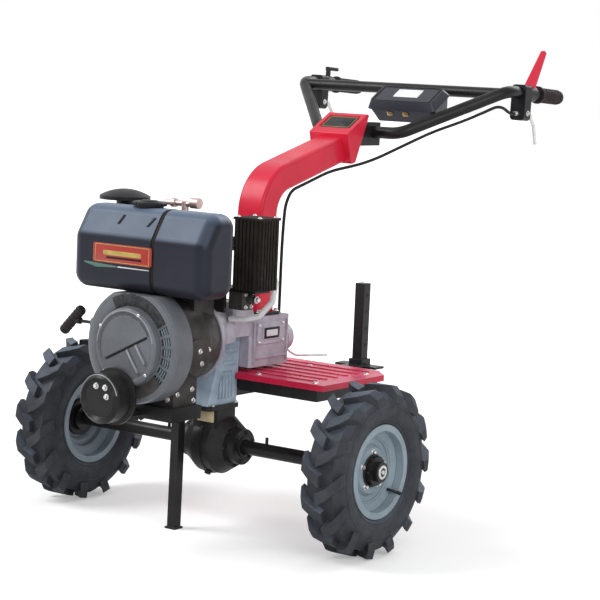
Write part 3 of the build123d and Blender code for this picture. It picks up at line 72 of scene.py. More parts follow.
# Places worked out from the frame, in millimetres, with Y from the axle and Z from the ground
WHEEL_X, _, AXLE_Z = node_middle("tyre_left")
AXLE_END = node_box("axle_left")[HIGH][X]
BOSS_END, _, CASE_TOP = node_box("gear_case")[HIGH]
CRANK_Z = node_middle("recoil_cover")[Z]
FAN_FRONT = node_box("fan_housing")[LOW][Y]
RECOIL_RIM = node_box("recoil_cover")[LOW][Y]
RECOIL_RIBS = RECOIL_RIM + 1.5
RECOIL_FLOOR = RECOIL_RIM + 5.0
TANK_FRONT = node_box("fuel_tank")[LOW][Y]
CAP_X, CAP_Y, _ = node_middle("fuel_cap")
CAP_TOP = node_box("fuel_cap")[HIGH][Z]
STAKE_Y = node_middle("depth_stake")[Y]
STAKE_HALF = node_box("depth_stake")[HIGH][X]
DRAWBAR_REAR = node_box("drawbar")[HIGH][Y]
DRAWBAR_Z = node_middle("drawbar")[Z]

# Places that no box gives, and angles in degrees
HUB_FACE = WHEEL_X + 17.0
CASE_SIDE = 60.0
DRAIN_ANGLE = 246.0
NECK_PLATE = (8, -60, 282)
HOUSING_SIDE = 74.0
HOUSING_PLATE = (109, 484)
RECOIL_SWEEP = 27.0
RECOIL_SLANT = 55.0
GUARD_MIDDLE = (-24, -430, 361)
PULL_MIDDLE = (-212, -314, 518)
PULL_TILT = 44.0
TANK_LABEL_X = -48.0
TANK_LABEL_Z = 692.0
TANK_LABEL_GAUGE = 0.9
BEVEL_TOP = (-298.3, 783.1)
BEVEL_FOOT = (-311.5, 761.8)
BEVEL_FACING = (0, -0.85, 0.527)
CLAMP_REAR = 592.0
GRIP_TIP = (335, 1043.97, 1093.46)
GRIP_RUN = 274.0
GRIP_FALL = 14.0
HEAD_LABEL = (0, 475.8, 1007.6)
HEAD_LABEL_GAUGE = 0.8
HEAD_RISE = (0, 0.870, 0.492)
HEAD_FACING = (0, -0.492, 0.870)
BOX_TOP = (88, 657.73, 1086.32)
ARM_RUN = 205.0
ARM_RISE = 124.0
DECK_TOP = 388.0

# Camera at the photograph's viewing angle
CAMERA_EYE = (3.071757, -3.94349, 1.16472)
CAMERA_AZIMUTH = 35.71
CAMERA_ELEVATION = 6.74
CAMERA_ROLL = 2.5
CAMERA_LENS = 121.49
CAMERA_SENSOR = 36.0

# Light from all round, the floor's glow near the machine, the distances in metres over which the floor
# turns white, its half width, and the share of gloss kept, as the backdrop shows in every glossy surface
WORLD_LIGHT = 0.40
FLOOR_GLOW = 0.30
FLOOR_FADE = (1.2, 4.0)
FLOOR_HALF = 40
GLOSS_SHARE = 0.4


# Finishes: node graphs that vary colour, gloss and grain over each surface
class Graph:
    """A material's node tree, with short calls to add nodes and join them."""

    def __init__(self, name):
        self.material = bpy.data.materials.new(name)
        self.material.use_nodes = True
        self.tree = self.material.node_tree
        self.shader = self.tree.nodes["Principled BSDF"]

    def add(self, kind, inputs=(), **settings):
        node = self.tree.nodes.new("ShaderNode" + kind)
        for key, value in settings.items():
            setattr(node, key, value)
        for key, value in inputs:
            self.put(node.inputs[key], value)
        return node

    def put(self, socket, value):
        if isinstance(value, bpy.types.NodeSocket):
            self.tree.links.new(value, socket)
        else:
            socket.default_value = value

    def mix(self, factor, first, second):
        node = self.add("Mix", ((0, factor), (6, first), (7, second)), data_type="RGBA")
        return node.outputs[2]

    def span(self, value, low, high, start=0.0, end=1.0):
        node = self.add("MapRange", ((0, value), (1, low), (2, high), (3, start), (4, end)))
        return node.outputs[0]

    def times(self, first, second):
        return self.add("Math", ((0, first), (1, second)), operation="MULTIPLY").outputs[0]

    def noise(self, scale, detail=4.0, rough=0.6):
        place = self.add("TexCoord").outputs["Object"]
        inputs = (("Vector", place), ("Scale", scale), ("Detail", detail), ("Roughness", rough))
        node = self.add("TexNoise", inputs)
        return node.outputs[0]


def colour(rgb):
    return (*rgb, 1.0)


def finish(name, main, second, patch, rough, grain, bump, metal=0.0, coat=0.0, wear=None, worn=0.4,
           dust_and_sheen=0.0, edge=1.5, dust_and_sheen_tint=(0.24, 0.22, 0.20), even=0.0, shine=0.5, sheen=(1.0, 1.0, 1.0)):
    """A surface with soft colour patches, fine grain, rounded and worn edges, and a paler tint on what faces
    up, which is dust on some finishes and a painted highlight on others.

    patch and grain are noise scales, rough is a range, worn is how much of an edge is chipped, edge is its
    rounding in millimetres, and even is the share of the up-facing tint that lies without patches.
    """
    graph = Graph(name)
    patches = graph.noise(patch)
    fine = graph.noise(grain, 3.0)
    tint = graph.mix(graph.span(patches, 0.35, 0.68), colour(main), colour(second))
    tint = graph.mix(graph.span(fine, 0.55, 0.8, 0.0, 0.35), tint, colour([c * 0.6 for c in main]))
    rounded = graph.add("Bevel", (("Radius", edge * MM),), samples=4).outputs[0]
    geometry = graph.add("NewGeometry")
    if wear:
        normals = ((0, rounded), (1, geometry.outputs["Normal"]))
        turn = graph.add("VectorMath", normals, operation="DOT_PRODUCT")
        edges = graph.span(turn.outputs["Value"], 0.80, 0.97, 1.0, 0.0)
        chips = graph.span(graph.noise(60.0, 5.0), 0.42, 0.62, 0.0, worn)
        tint = graph.mix(graph.times(edges, chips), tint, colour(wear))
    # Paler tint on what faces up: dust, and on the tyres, tank and red paint also a painted highlight of the
    # sky
    if dust_and_sheen:
        up = graph.add("SeparateXYZ", ((0, geometry.outputs["Normal"]),)).outputs[2]
        spread = graph.span(graph.noise(14.0, 6.0), 0.35, 0.75, dust_and_sheen * even, dust_and_sheen)
        settled_dust_and_sheen = graph.times(graph.span(up, 0.25, 0.95), spread)
        tint = graph.mix(settled_dust_and_sheen, tint, colour(dust_and_sheen_tint))
    graph.put(graph.shader.inputs["Base Color"], tint)
    graph.put(graph.shader.inputs["Roughness"], graph.span(graph.noise(patch * 3, 6.0), 0.3, 0.7, *rough))
    graph.shader.inputs["Metallic"].default_value = metal
    graph.shader.inputs["Coat Weight"].default_value = GLOSS_SHARE * coat
    graph.shader.inputs["Coat Roughness"].default_value = 0.18
    graph.shader.inputs["Specular IOR Level"].default_value = GLOSS_SHARE * shine
    graph.shader.inputs["Specular Tint"].default_value = colour(sheen)
    inputs = (("Strength", bump), ("Distance", MM), ("Height", fine), ("Normal", rounded))
    relief = graph.add("Bump", inputs)
    graph.put(graph.shader.inputs["Normal"], relief.outputs[0])
    return graph.material


# Looks by material slot
SLOT_LOOKS = {
    # Tyre: the pale bluish tint on up-facing lugs is dust and a painted highlight of the sky
    "tyre_rubber": dict(main=(0.034, 0.037, 0.044), second=(0.054, 0.058, 0.068), patch=16,
                        rough=(0.5, 0.75), grain=700, bump=0.18, wear=(0.14, 0.15, 0.17), worn=0.35,
                        dust_and_sheen=0.85, edge=2.5, dust_and_sheen_tint=(0.17, 0.205, 0.262), even=0.3, shine=0.4),
    "rim_paint": dict(main=(0.29, 0.36, 0.41), second=(0.22, 0.28, 0.32), patch=12, rough=(0.36, 0.55),
                      grain=500, bump=0.08, coat=0.15, wear=(0.42, 0.46, 0.48), worn=0.5, dust_and_sheen=0.08),
    "black_paint": dict(main=(0.01, 0.009, 0.01), second=(0.018, 0.017, 0.017), patch=14, rough=(0.28, 0.46),
                        grain=260, bump=0.06, coat=0.12, wear=(0.09, 0.09, 0.09), worn=0.4, dust_and_sheen=0.07,
                        shine=0.38),
    # Red paint: the pink tint on up-facing faces is a painted highlight of the sky, with a little dust
    "red_paint": dict(main=(0.68, 0.022, 0.052), second=(0.58, 0.016, 0.044), patch=7, rough=(0.26, 0.42),
                      grain=300, bump=0.05, coat=0.22, wear=(0.74, 0.2, 0.27), worn=0.6, dust_and_sheen=0.12,
                      dust_and_sheen_tint=(0.72, 0.16, 0.26), shine=0.4),
    "case_paint": dict(main=(0.01, 0.009, 0.01), second=(0.02, 0.019, 0.02), patch=20, rough=(0.36, 0.58),
                       grain=150, bump=0.3, coat=0.1, wear=(0.08, 0.08, 0.08), worn=0.4, dust_and_sheen=0.1,
                       shine=0.4),
    "leg_casting": dict(main=(0.4, 0.5, 0.6), second=(0.27, 0.35, 0.43), patch=24, rough=(0.3, 0.48),
                        grain=170, bump=0.3, wear=(0.6, 0.66, 0.72), worn=0.7, dust_and_sheen=0.08),
    "housing_casting": dict(main=(0.46, 0.44, 0.51), second=(0.33, 0.3, 0.35), patch=22, rough=(0.36, 0.56),
                            grain=170, bump=0.35, metal=0.15, wear=(0.6, 0.58, 0.64), worn=0.7, dust_and_sheen=0.1),
    "engine_grey": dict(main=(0.15, 0.162, 0.182), second=(0.105, 0.112, 0.124), patch=10, rough=(0.3, 0.46),
                        grain=320, bump=0.06, coat=0.15, wear=(0.44, 0.47, 0.5), worn=0.8, dust_and_sheen=0.06),
    "engine_casting": dict(main=(0.06, 0.056, 0.055), second=(0.03, 0.026, 0.025), patch=26,
                           rough=(0.38, 0.58), grain=170, bump=0.35, wear=(0.22, 0.21, 0.21), worn=0.6,
                           dust_and_sheen=0.15),
    # Tank: the pale bluish tint on up-facing faces and the bevel is a painted highlight
    "tank_plastic": dict(main=(0.013, 0.012, 0.018), second=(0.019, 0.018, 0.025), patch=5,
                         rough=(0.34, 0.44), grain=900, bump=0.05, coat=0.1, dust_and_sheen=0.8, edge=2.0,
                         dust_and_sheen_tint=(0.16, 0.215, 0.31), even=0.8, shine=0.5, sheen=(0.6, 0.78, 1.0)),
    "black_plastic": dict(main=(0.016, 0.016, 0.019), second=(0.01, 0.01, 0.012), patch=16,
                          rough=(0.34, 0.5), grain=800, bump=0.1, wear=(0.06, 0.06, 0.07), worn=0.4,
                          dust_and_sheen=0.06, dust_and_sheen_tint=(0.16, 0.16, 0.18), shine=0.4),
    "grip_rubber": dict(main=(0.04, 0.029, 0.031), second=(0.026, 0.019, 0.02), patch=30, rough=(0.55, 0.75),
                        grain=900, bump=0.2, dust_and_sheen=0.06, shine=0.35),
    "bright_steel": dict(main=(0.64, 0.64, 0.63), second=(0.46, 0.45, 0.44), patch=40, rough=(0.2, 0.38),
                         grain=600, bump=0.08, metal=0.8, wear=(0.75, 0.75, 0.75), worn=0.4, dust_and_sheen=0.06),
}
# Looks of labels, of painted highlights and painted shade, and of nodes that depart from their slot's
EXTRA_LOOKS = {
    "silver_pipe": dict(main=(0.74, 0.75, 0.77), second=(0.62, 0.62, 0.64), patch=30, rough=(0.28, 0.42),
                        grain=500, bump=0.05, coat=0.3),
    "rose_metal": dict(main=(0.62, 0.47, 0.44), second=(0.5, 0.38, 0.36), patch=40, rough=(0.25, 0.4),
                       grain=500, bump=0.08, metal=0.6),
    "red_label": dict(main=(0.4, 0.04, 0.032), second=(0.34, 0.03, 0.026), patch=8, rough=(0.3, 0.42),
                      grain=700, bump=0.02, coat=0.3),
    "pale_label": dict(main=(0.72, 0.72, 0.74), second=(0.64, 0.64, 0.67), patch=20, rough=(0.35, 0.5),
                       grain=700, bump=0.02, coat=0.2),
    "white_label": dict(main=(0.9, 0.9, 0.92), second=(0.84, 0.84, 0.87), patch=20, rough=(0.35, 0.5),
                        grain=700, bump=0.02, coat=0.2),
    "cream_label": dict(main=(0.6, 0.5, 0.31), second=(0.5, 0.41, 0.25), patch=60, rough=(0.35, 0.5),
                        grain=700, bump=0.03),
    "green_label": dict(main=(0.03, 0.12, 0.075), second=(0.16, 0.22, 0.2), patch=14, rough=(0.3, 0.42),
                        grain=700, bump=0.02, coat=0.3),
    "gold_label": dict(main=(0.48, 0.36, 0.1), second=(0.36, 0.26, 0.07), patch=40, rough=(0.3, 0.45),
                       grain=700, bump=0.02, metal=0.3),
    # Near black for the painted shade in vents, grooves and holes, and for the tank's dark marks
    "black_and_painted_shade": dict(main=(0.006, 0.006, 0.007), second=(0.014, 0.013, 0.013), patch=60, rough=(0.5, 0.8),
                      grain=300, bump=0.2),
    "sooty_steel": dict(main=(0.013, 0.011, 0.009), second=(0.022, 0.018, 0.015), patch=30,
                        rough=(0.55, 0.8), grain=240, bump=0.2, wear=(0.045, 0.04, 0.036), worn=0.4,
                        dust_and_sheen=0.05, dust_and_sheen_tint=(0.09, 0.08, 0.07), shine=0.25),
    # Deck: the pale pink tint on up-facing faces is a painted highlight of the sky, with some dust
    "deck_red": dict(main=(0.66, 0.02, 0.07), second=(0.54, 0.014, 0.052), patch=9, rough=(0.24, 0.4),
                     grain=300, bump=0.05, coat=0.2, wear=(0.78, 0.34, 0.42), worn=0.7, dust_and_sheen=0.34,
                     dust_and_sheen_tint=(0.84, 0.2, 0.4), even=0.4, shine=0.4),
    "lid_blue": dict(main=(0.034, 0.035, 0.046), second=(0.024, 0.025, 0.034), patch=12, rough=(0.3, 0.44),
                     grain=800, bump=0.08, coat=0.1, wear=(0.1, 0.1, 0.13), worn=0.4, dust_and_sheen=0.1,
                     dust_and_sheen_tint=(0.16, 0.16, 0.2), shine=0.6, sheen=(0.8, 0.86, 1.0)),
    "dark_screen": dict(main=(0.02, 0.021, 0.023), second=(0.06, 0.062, 0.066), patch=90, rough=(0.45, 0.65),
                        grain=420, bump=0.6, shine=0.3),
    # Painted highlight: pale grey for the lit arcs of rims and for the lit ribs
    "painted_highlight_grey": dict(main=(0.34, 0.36, 0.39), second=(0.24, 0.25, 0.27), patch=40, rough=(0.26, 0.42),
                     grain=500, bump=0.05, coat=0.2),
    # Darker brown for the plate over the lower vents
    "dark_brown_lower": dict(main=(0.05, 0.043, 0.043), second=(0.085, 0.078, 0.078), patch=40, rough=(0.4, 0.6),
                         grain=300, bump=0.3),
    "brass": dict(main=(0.5, 0.36, 0.16), second=(0.36, 0.25, 0.11), patch=60, rough=(0.3, 0.45), grain=500,
                  bump=0.05, metal=0.8),
}
FINISHES = {name: finish(name, **look) for name, look in SLOT_LOOKS.items()}
EXTRA = {name: finish(name, **look) for name, look in EXTRA_LOOKS.items()}
# Nodes with a look of their own
NODE_FINISH = {"breather_pipe": EXTRA["silver_pipe"], "injector": EXTRA["rose_metal"],
               "muffler_guard": EXTRA["sooty_steel"], "tank_strap": EXTRA["sooty_steel"],
               "deck": EXTRA["deck_red"], "toolbox_lid": EXTRA["lid_blue"],
               "toolbox_tray": EXTRA["lid_blue"]}


def dress_nodes():
    for part in frame["record"]["subparts"]:
        name = part["node"]
        node = frame["nodes"][name]
        node.data.materials.clear()
        node.data.materials.append(NODE_FINISH.get(name, FINISHES[part["material_slot"]]))


# Small trim, gathered in one mesh for each body and finish
class Trim:
    """Collects small solids in one mesh that rides on a body."""

    def __init__(self, name, body, slot, material=None):
        self.name, self.body, self.slot = name, body, slot
        self.material = material or FINISHES[slot]
        self.mesh = bmesh.new()

    def turned(self, place, axis, profile, sides, closed=False, span=None):
        """A form turned about an axis from (radius, height) points in millimetres, over an arc by span."""
        place, axis = at(*place), Vector(axis).normalized()
        u = axis.cross(Vector(UPWARDS if abs(axis.z) < 0.9 else LEFTWARDS)).normalized()
        v = axis.cross(u)
        start, end = (math.radians(degrees) for degrees in span or (0.0, 360.0))
        count = sides if span is None else sides + 1
        rings = []
        for radius, height in profile:
            points = [place + axis * height * MM]
            if radius:
                turns = [start + (end - start) * i / sides for i in range(count)]
                points = [points[0] + (u * math.cos(t) + v * math.sin(t)) * radius * MM for t in turns]
            rings.append([self.mesh.verts.new(point) for point in points])
        pairs = list(zip(rings, rings[1:])) + ([(rings[-1], rings[0])] if closed else [])
        for lower, upper in pairs:
            for i in range(sides):
                j = (i + 1) % count
                below = [lower[i % len(lower)], lower[j % len(lower)]]
                above = [upper[j % len(upper)], upper[i % len(upper)]]
                self.face(below + above)
        if span is not None and closed:
            for i in (0, count - 1):
                self.face([ring[i] for ring in rings])

    def face(self, corners):
        """A face from corners that may repeat, left out where it would be a line or a copy."""
        kept = []
        for corner in corners:
            if corner not in kept:
                kept.append(corner)
        if len(kept) > 2 and not self.mesh.faces.get(kept):
            self.mesh.faces.new(kept)

    def bolt(self, place, axis, across, height):
        """A hexagon head on a round washer, with a chamfered crown."""
        half = across / 2
        rim = across * 0.85
        washer = ((0, -0.5), (rim, -0.5), (rim, 0.8), (across * 0.78, 1.4), (0, 1.4))
        self.turned(place, axis, washer, 16)
        corner = half * 1.15
        crown = ((half * 0.98, height), (half * 0.3, height), (0, height - 0.4))
        self.turned(place, axis, ((corner, 1.0), (corner, height - 1), *crown), 6)

    def tube(self, points, radius):
        """A round bar along a smooth line near some points."""
        data = bpy.data.curves.new("line", "CURVE")
        data.dimensions = "3D"
        line = data.splines.new("NURBS")
        line.points.add(len(points) - 1)
        for knot, point in zip(line.points, points):
            knot.co = (*at(*point), 1)
        line.order_u = 3
        line.use_endpoint_u = True
        line.resolution_u = 6
        data.bevel_depth = radius * MM
        data.bevel_resolution = 2
        data.use_fill_caps = True
        holder = bpy.data.objects.new("line", data)
        solid = bpy.data.meshes.new_from_object(holder)
        self.mesh.from_mesh(solid)
        bpy.data.objects.remove(holder)
        bpy.data.curves.remove(data)
        bpy.data.meshes.remove(solid)

    def plate(self, corners, normal, gauge, edge=0.6, sink=0.5):
        """A thin plate from its corner points, with a bevelled face that stands off along the normal."""
        normal = Vector(normal).normalized()
        points = [at(*corner) for corner in corners]
        middle = sum(points, Vector()) / len(points)
        foot = [self.mesh.verts.new(p - normal * sink * MM) for p in points]
        shoulder = [self.mesh.verts.new(p + normal * (gauge - edge) * MM) for p in points]
        face = []
        for p in points:
            inward = (middle - p).normalized() * edge * 1.4 * MM
            face.append(self.mesh.verts.new(p + inward + normal * gauge * MM))
        self.face(foot[::-1])
        self.face(face)
        count = len(points)
        for lower, upper in ((foot, shoulder), (shoulder, face)):
            for i in range(count):
                j = (i + 1) % count
                self.face([lower[i], lower[j], upper[j], upper[i]])

    def panel(self, centre, across, up, size, gauge, corner, edge=0.6, sink=0.5):
        """A plate with rounded corners, by its middle, two directions and its size in millimetres."""
        across, up = Vector(across).normalized(), Vector(up).normalized()
        half_x, half_y = size[0] / 2 - corner, size[1] / 2 - corner
        corners = []
        for sx, sy, turn in ((1, 1, 0), (-1, 1, 90), (-1, -1, 180), (1, -1, 270)):
            for step in range(5):
                angle = math.radians(turn + 22.5 * step)
                offset_x = across * (sx * half_x + corner * math.cos(angle))
                offset_y = up * (sy * half_y + corner * math.sin(angle))
                corners.append(Vector(centre) + (offset_x + offset_y))
        self.plate(corners, across.cross(up), gauge, edge, sink)

    def done(self):
        """Turns the collected solids into a piece that rides on its body."""
        bmesh.ops.recalc_face_normals(self.mesh, faces=self.mesh.faces)
        mesh = bpy.data.meshes.new(self.name)
        self.mesh.to_mesh(mesh)
        self.mesh.free()
        for polygon in mesh.polygons:
            polygon.use_smooth = True
        mesh.set_sharp_from_angle(angle=math.radians(38))
        mesh.materials.append(self.material)
        piece = bpy.data.objects.new(self.name, mesh)
        bpy.context.scene.collection.objects.link(piece)
        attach(piece, self.body)


def round_axle(x, radius, angle):
    """A point round the axle line: angle from the rear, upwards."""
    turn = math.radians(angle)
    return x, radius * math.cos(turn), AXLE_Z + radius * math.sin(turn)


def from_axle(angle):
    """The direction away from the axle line, at an angle like round_axle's."""
    turn = math.radians(angle)
    return 0, math.cos(turn), math.sin(turn)


def round_crank(y, radius, angle):
    """A point round the crank line: angle from the machine's left, upwards."""
    turn = math.radians(angle)
    return radius * math.cos(turn), y, CRANK_Z + radius * math.sin(turn)


def crank_span(low, high):
    """An arc for a form turned about the crank line towards the front, from angles like round_crank's."""
    return low + 180, high + 180


# Wheels: sidewall rings, wheel nuts, hub cap and valve
def dress_wheels():
    for name, side in SIDES:
        body = "wheel_" + name
        outward = (side, 0, 0)
        rubber = Trim("sidewall_rings_" + name, body, "tyre_rubber")
        # radius, distance from the wheel's middle, half width and height of each ridge
        ridges = ((124, 45.4, 2.0, 1.8), (130, 47.6, 1.2, 1.4), (158, 52.2, 1.4, 1.2))
        for face in (1, -1):
            for radius, out, half, rise in ridges:
                middle = (side * WHEEL_X + face * out, 0, AXLE_Z)
                crest = half * 0.6
                ridge = ((radius - half, -2), (radius - crest, rise),
                         (radius + crest, rise), (radius + half, -2))
                rubber.turned(middle, (face, 0, 0), ridge, 64, closed=True)
        rubber.done()
        steel = Trim("wheel_nuts_" + name, body, "bright_steel")
        for i in range(5):
            steel.bolt(round_axle(side * HUB_FACE, 44.5, 72 * i + 18), outward, 9, 7)
        end = ((17, -0.5), (17, 1.5), (14, 2.5), (11, 2.5), (10, -1), (6, -1), (5, 3), (0, 3.5))
        steel.turned((side * AXLE_END, 0, AXLE_Z), outward, end, 28)
        steel.done()
        hub = Trim("hub_cap_" + name, body, "black_paint")
        collar = ((40, -0.5), (40, 2), (37.5, 4), (34, 4), (34, -0.5))
        hub.turned((side * HUB_FACE, 0, AXLE_Z), outward, collar, 40, closed=True)
        knob = ((0, -4), (4.5, -4), (4.5, 3), (3, 4.5), (0, 4.5))
        for i in range(6):
            hub.turned(round_axle(side * (HUB_FACE + 9), 33, 60 * i), outward, knob, 10)
        # valve stem, by distance from the hub's face, radius and angle
        stem = [round_axle(side * (HUB_FACE + out), radius, angle)
                for out, radius, angle in ((3, 84, -40), (15, 86, -40), (27, 98, -38))]
        hub.tube(stem, 3.6)
        hub.turned(stem[-1], (side * 0.7, 0.4, -0.4), ((0, -3), (4.6, -3), (4.6, 5), (3.6, 7), (0, 7)), 12)
        hub.done()


# Lower drive: bearing bolts, parting rib, drain plug and a blank plate on the neck
def dress_drive():
    steel = Trim("drive_bolts", "chassis", "bright_steel")
    black = Trim("drive_fittings", "chassis", "case_paint")
    seal = ((26, -0.5), (26, 2.5), (23, 4), (19.5, 4), (19.5, -0.5))
    for _, side in SIDES:
        outward = (side, 0, 0)
        for i in range(6):
            black.bolt(round_axle(side * BOSS_END, 36, 60 * i + 15), outward, 8, 5)
        black.turned((side * BOSS_END, 0, AXLE_Z), outward, seal, 32, closed=True)
        for i in range(8):
            black.bolt(round_axle(side * CASE_SIDE, 49.5, 45 * i), outward, 6, 4)
        for y in (-74, 18):
            steel.bolt((side * 40.5, y, CASE_TOP), UPWARDS, 6, 5)
    rib = ((74, -5), (77.5, -4), (77.5, 4), (74, 5))
    black.turned((0, 0, AXLE_Z), LEFTWARDS, rib, 72, closed=True)
    black.bolt(round_axle(0, 77, DRAIN_ANGLE), from_axle(DRAIN_ANGLE), 14, 7)
    black.done()
    cream = Trim("neck_plate", "chassis", "case_paint", EXTRA["cream_label"])
    cream.panel(NECK_PLATE, LEFTWARDS, UPWARDS, (52, 28), 1.2, 2)
    cream.done()
    rivets = Trim("neck_plate_rivets", "chassis", "bright_steel")
    x, y, z = NECK_PLATE
    head = ((0, -0.5), (2, -0.5), (2, 0.6), (1.2, 1.4), (0, 1.6))
    for offset in (-21, 21):
        rivets.turned((x + offset, y - 1, z), FORWARDS, head, 10)
    rivets.done()
    dress_housing(steel)


# Upper housing: bolts and filler plug, added to the lower drive's bolts, cast ribs and a blank plate
def dress_housing(steel):
    for i in range(8):
        steel.bolt(round_crank(-108, 92, 45 * i + 22), BACKWARDS, 8, 5)
    for x in (-49, 49):
        for y in (88.5, 158):
            steel.bolt((x, y, 533), UPWARDS, 10, 7)
    for _, side in SIDES:
        for y in (60, 158):
            for z in (462, 505):
                steel.bolt((side * HOUSING_SIDE, y, z), (side, 0, 0), 5, 3.5)
    for i in range(6):
        turn = math.radians(60 * i)
        steel.bolt((32 + 29.5 * math.cos(turn), 214, 462.5 + 29.5 * math.sin(turn)), BACKWARDS, 6, 4)
    plug = ((0, -1), (13, -1), (13, 3), (11, 4), (9, 4), (9, 12), (7.5, 13), (0, 13))
    steel.turned((0, -10, 568), UPWARDS, plug, 6)
    steel.done()
    casting = Trim("housing_ribs", "chassis", "housing_casting")
    for _, side in SIDES:
        along = (0, side, 0)
        casting.panel((side * HOUSING_SIDE, *HOUSING_PLATE), along, UPWARDS, (74, 34), 2.5, 6)
        for y in (42, 178):
            casting.panel((side * 70, y, 462), along, UPWARDS, (6, 104), 4, 2)
        casting.panel((side * 70, 110, 424), along, UPWARDS, (130, 6), 4, 2)
    casting.done()
    plate = Trim("housing_plate", "chassis", "bright_steel", EXTRA["pale_label"])
    plate.panel((HOUSING_SIDE + 3.3, *HOUSING_PLATE), BACKWARDS, UPWARDS, (46, 16), 0.8, 2)
    plate.done()
    dark = Trim("housing_plate_border", "chassis", "black_plastic")
    dark.panel((HOUSING_SIDE + 2.5, *HOUSING_PLATE), BACKWARDS, UPWARDS, (64, 28), 0.8, 3)
    dark.done()


# Tank: label left blank with its border and bars, a painted shadow under its gold band, marks on the bevel
# and the stripe below
def dress_tank():
    raised = TANK_FRONT - TANK_LABEL_GAUGE
    red = Trim("tank_label", "chassis", "tank_plastic", EXTRA["red_label"])
    red.panel((TANK_LABEL_X, TANK_FRONT, TANK_LABEL_Z), LEFTWARDS, UPWARDS, (182, 46), TANK_LABEL_GAUGE, 5)
    red.done()
    gold = Trim("tank_label_border", "chassis", "tank_plastic", EXTRA["gold_label"])
    for z in (TANK_LABEL_Z - 20, TANK_LABEL_Z + 20):
        gold.panel((TANK_LABEL_X, raised, z), LEFTWARDS, UPWARDS, (166, 1.6), 0.3, 0.6, 0.1)
    for x in (TANK_LABEL_X - 83, TANK_LABEL_X + 83):
        gold.panel((x, raised, TANK_LABEL_Z), LEFTWARDS, UPWARDS, (1.6, 40), 0.3, 0.6, 0.1)
    gold.panel((TANK_LABEL_X, raised, TANK_LABEL_Z + 1), LEFTWARDS, UPWARDS, (118, 11), 0.3, 4, 0.1)
    gold.done()
    dark = Trim("tank_marks_and_shadow", "chassis", "tank_plastic", EXTRA["black_and_painted_shade"])
    # Painted shadow: a dark bar under the gold band
    dark.panel((TANK_LABEL_X + 6, raised, TANK_LABEL_Z - 10), LEFTWARDS, UPWARDS, (110, 5), 0.2, 2, 0.1)
    for top, foot in ((-70, -78), (24, 12)):
        corners = ((top - 3, *BEVEL_TOP), (foot - 3, *BEVEL_FOOT),
                   (foot + 3, *BEVEL_FOOT), (top + 3, *BEVEL_TOP))
        dark.plate(corners, BEVEL_FACING, 2.0, 0.8)
    dark.done()
    green = Trim("tank_stripe", "chassis", "tank_plastic", EXTRA["green_label"])
    outline = ((-166, 664), (-166, 668), (-60, 663), (-60, 660), (-128, 656))
    green.plate([(x, TANK_FRONT, z) for x, z in outline], FORWARDS, 0.5, 0.2)
    green.done()
    pale = Trim("tank_stripe_end", "chassis", "tank_plastic", EXTRA["pale_label"])
    outline = ((-60, 663), (36, 662.5), (36, 660.5), (-60, 660))
    pale.plate([(x, TANK_FRONT, z) for x, z in outline], FORWARDS, 0.5, 0.2)
    pale.done()


